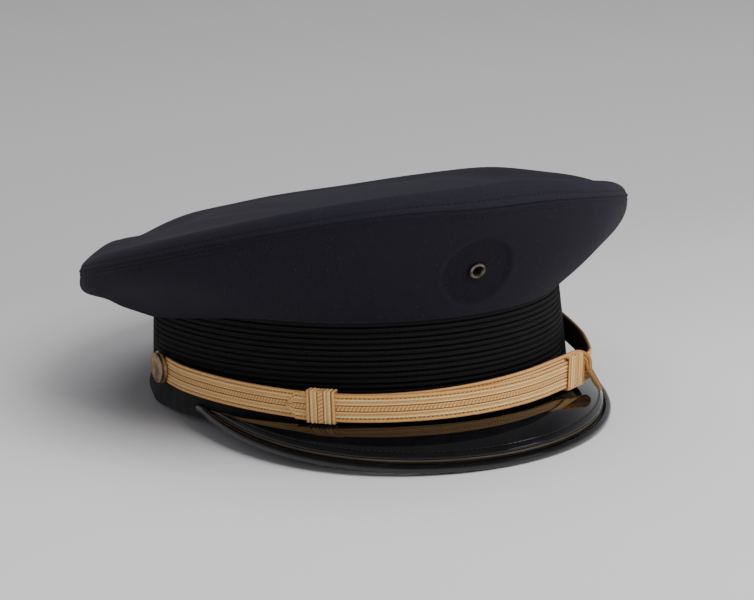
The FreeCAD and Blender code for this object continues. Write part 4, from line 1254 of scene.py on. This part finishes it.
def button(side, prefix, seat, body):
    radii = np.linspace(BUTTON_RADIUS - 0.35, 0.02, 46)
    dome = 2.5 * np.sqrt(np.clip(1 - (radii / 8.6) ** 2, 0, 1)) - 0.1
    ring = -0.75 * bell(radii - 5.0, 0.45) + 0.3 * bell(radii - 6.2, 0.6)
    front = list(zip(radii, dome + ring))
    back = [
        (0.02, 0.9), (BUTTON_RADIUS - 0.8, 0.75), (BUTTON_RADIUS - 0.6, 0.05),
        (BUTTON_RADIUS - 0.15, 0.0), (BUTTON_RADIUS, 0.35), (BUTTON_RADIUS, 1.0),
    ]
    on_front = np.concatenate([np.zeros(len(back)), np.ones(len(front))])

    def relief(radius, angle):
        return button_relief(radius, angle) * on_front

    place = POST_MIDDLE + np.array([side * seat, 0.0, 0.0])
    piece = turned(prefix + "_face", back + front, place, (side, 0, 0),
                   BRASS, body, 120, relief)
    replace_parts(piece, prefix + "_shell")


LEFT_LEAN = BUTTON_RADIUS * math.cos(LEFT_ANGLE)
button(-1, "right_button", STRAP_HALF - SLIP + 0.2 - BUTTON_DRAW, "right_button")
button(1, "left_button", STRAP_HALF + SLIP + BACKING_THICK + LACE_THICK + LEFT_LEAN + 0.3, "left_button")

# ---------------------------------------------------------------- finishes of the nodes that stay

KEPT = {
    "band_frame": FRAME_BOARD,
    "badge_backing_disc": FRAME_BOARD,
    "sweatband_tape": LINING_CLOTH,
    "sweatband_joint_patch": SWEAT_LEATHER,
    "front_stay": STEEL,
    "grommet_ferrule": STEEL,
    "badge_eyelet_washer": BRONZE,
    "visor_flange": VISOR_LINING,
}
for side_name in ("right", "left"):
    for part, finish in (("back", BRASS), ("post", BRASS), ("retaining_pin", STEEL), ("washer", STEEL)):
        KEPT["%s_button_%s" % (side_name, part)] = finish
for node_name, finish in KEPT.items():
    node = frame["nodes"][node_name]
    node.data.materials.clear()
    node.data.materials.append(finish)

# ---------------------------------------------------------------- stage

CAMERA_AZIMUTH = math.radians(-25.91)
CAMERA_ELEVATION = math.radians(14.898)
CAMERA_ROLL = math.radians(-1.491)
CAMERA_TARGET = Vector((0.0056, -0.00505, 0.04131))
CAMERA_DISTANCE = 1.3
CAMERA_LENS = 137.5
FLOOR_HALF = 6.0


def direction(azimuth, elevation):
    level = math.cos(elevation)
    return Vector((math.sin(azimuth) * level, -math.cos(azimuth) * level, math.sin(elevation)))


def standing(place, back):
    """Where a camera or light stands that looks against the direction back."""
    return Matrix.Translation(place) @ back.to_track_quat("Z", "Y").to_matrix().to_4x4()


def make_camera():
    camera = add_object("camera", bpy.data.cameras.new("camera"))
    camera.data.lens = CAMERA_LENS
    camera.data.sensor_width = 36
    back = direction(CAMERA_AZIMUTH, CAMERA_ELEVATION)
    level = standing(CAMERA_TARGET + back * CAMERA_DISTANCE, back)
    camera.matrix_world = level @ Matrix.Rotation(CAMERA_ROLL, 4, "Z")
    bpy.context.scene.camera = camera


def make_floor():
    finish = Finish("floor_paper", Specular_IOR_Level=0.2)
    cloud = finish.noise(3, 2)
    pale = finish.ramp(cloud, (0.3, (0.89, 0.89, 0.90)), (0.7, (0.91, 0.91, 0.92)))
    # painted shade: the floor is painted darker towards the back, for the light falling off away from the
    # lamps
    depth = finish.node("SeparateXYZ", {0: finish.node("TexCoord").outputs["Object"]}).outputs[1]
    finish.colour(finish.mix(finish.math("MULTIPLY_ADD", depth, 3.2, 0.25), pale, (0.62, 0.62, 0.63)))
    finish.rough(cloud, 0.75, 0.85)
    mesh = bpy.data.meshes.new("floor")
    corners = [(x * FLOOR_HALF, y * FLOOR_HALF, 0) for x, y in ((-1, -1), (1, -1), (1, 1), (-1, 1))]
    mesh.from_pydata(corners, [], [(0, 1, 2, 3)])
    mesh.materials.append(finish.material)
    floor = add_object("floor", mesh)


def area_light(name, azimuth, elevation, distance, width, height, power, glossy):
    """Rectangular light; one that is not glossy lights surfaces but is not mirrored in them."""
    light = add_object(name, bpy.data.lights.new(name, "AREA"))
    light.data.shape = "RECTANGLE"
    light.data.size, light.data.size_y = width, height
    light.data.energy = power
    light.visible_glossy = glossy
    back = direction(math.radians(azimuth), math.radians(elevation))
    light.matrix_world = standing(back * distance, back)


def make_lights():
    world = bpy.data.worlds.new("studio")
    bpy.context.scene.world = world
    world.use_nodes = True
    tree = world.node_tree
    # the room is bright near the horizon and dark overhead
    spot = tree.nodes.new("ShaderNodeTexCoord")
    parts = tree.nodes.new("ShaderNodeSeparateXYZ")
    room = tree.nodes.new("ShaderNodeValToRGB")
    tree.links.new(spot.outputs["Generated"], parts.inputs[0])
    tree.links.new(parts.outputs[2], room.inputs[0])
    tree.links.new(room.outputs[0], tree.nodes["Background"].inputs[0])
    elements = room.color_ramp.elements
    elements[0].position, elements[0].color = 0.25, (0.50, 0.50, 0.52, 1.0)
    elements[1].position, elements[1].color = 0.65, (0.12, 0.12, 0.125, 1.0)
    area_light("key", 26, 52, 1.9, 1.3, 1.3, 30, False)
    area_light("overhead", 150, 74, 2.2, 2.2, 1.6, 19, False)
    area_light("glint", 50, 35, 1.9, 0.6, 0.15, 0.9, True)


make_camera()
make_floor()
make_lights()
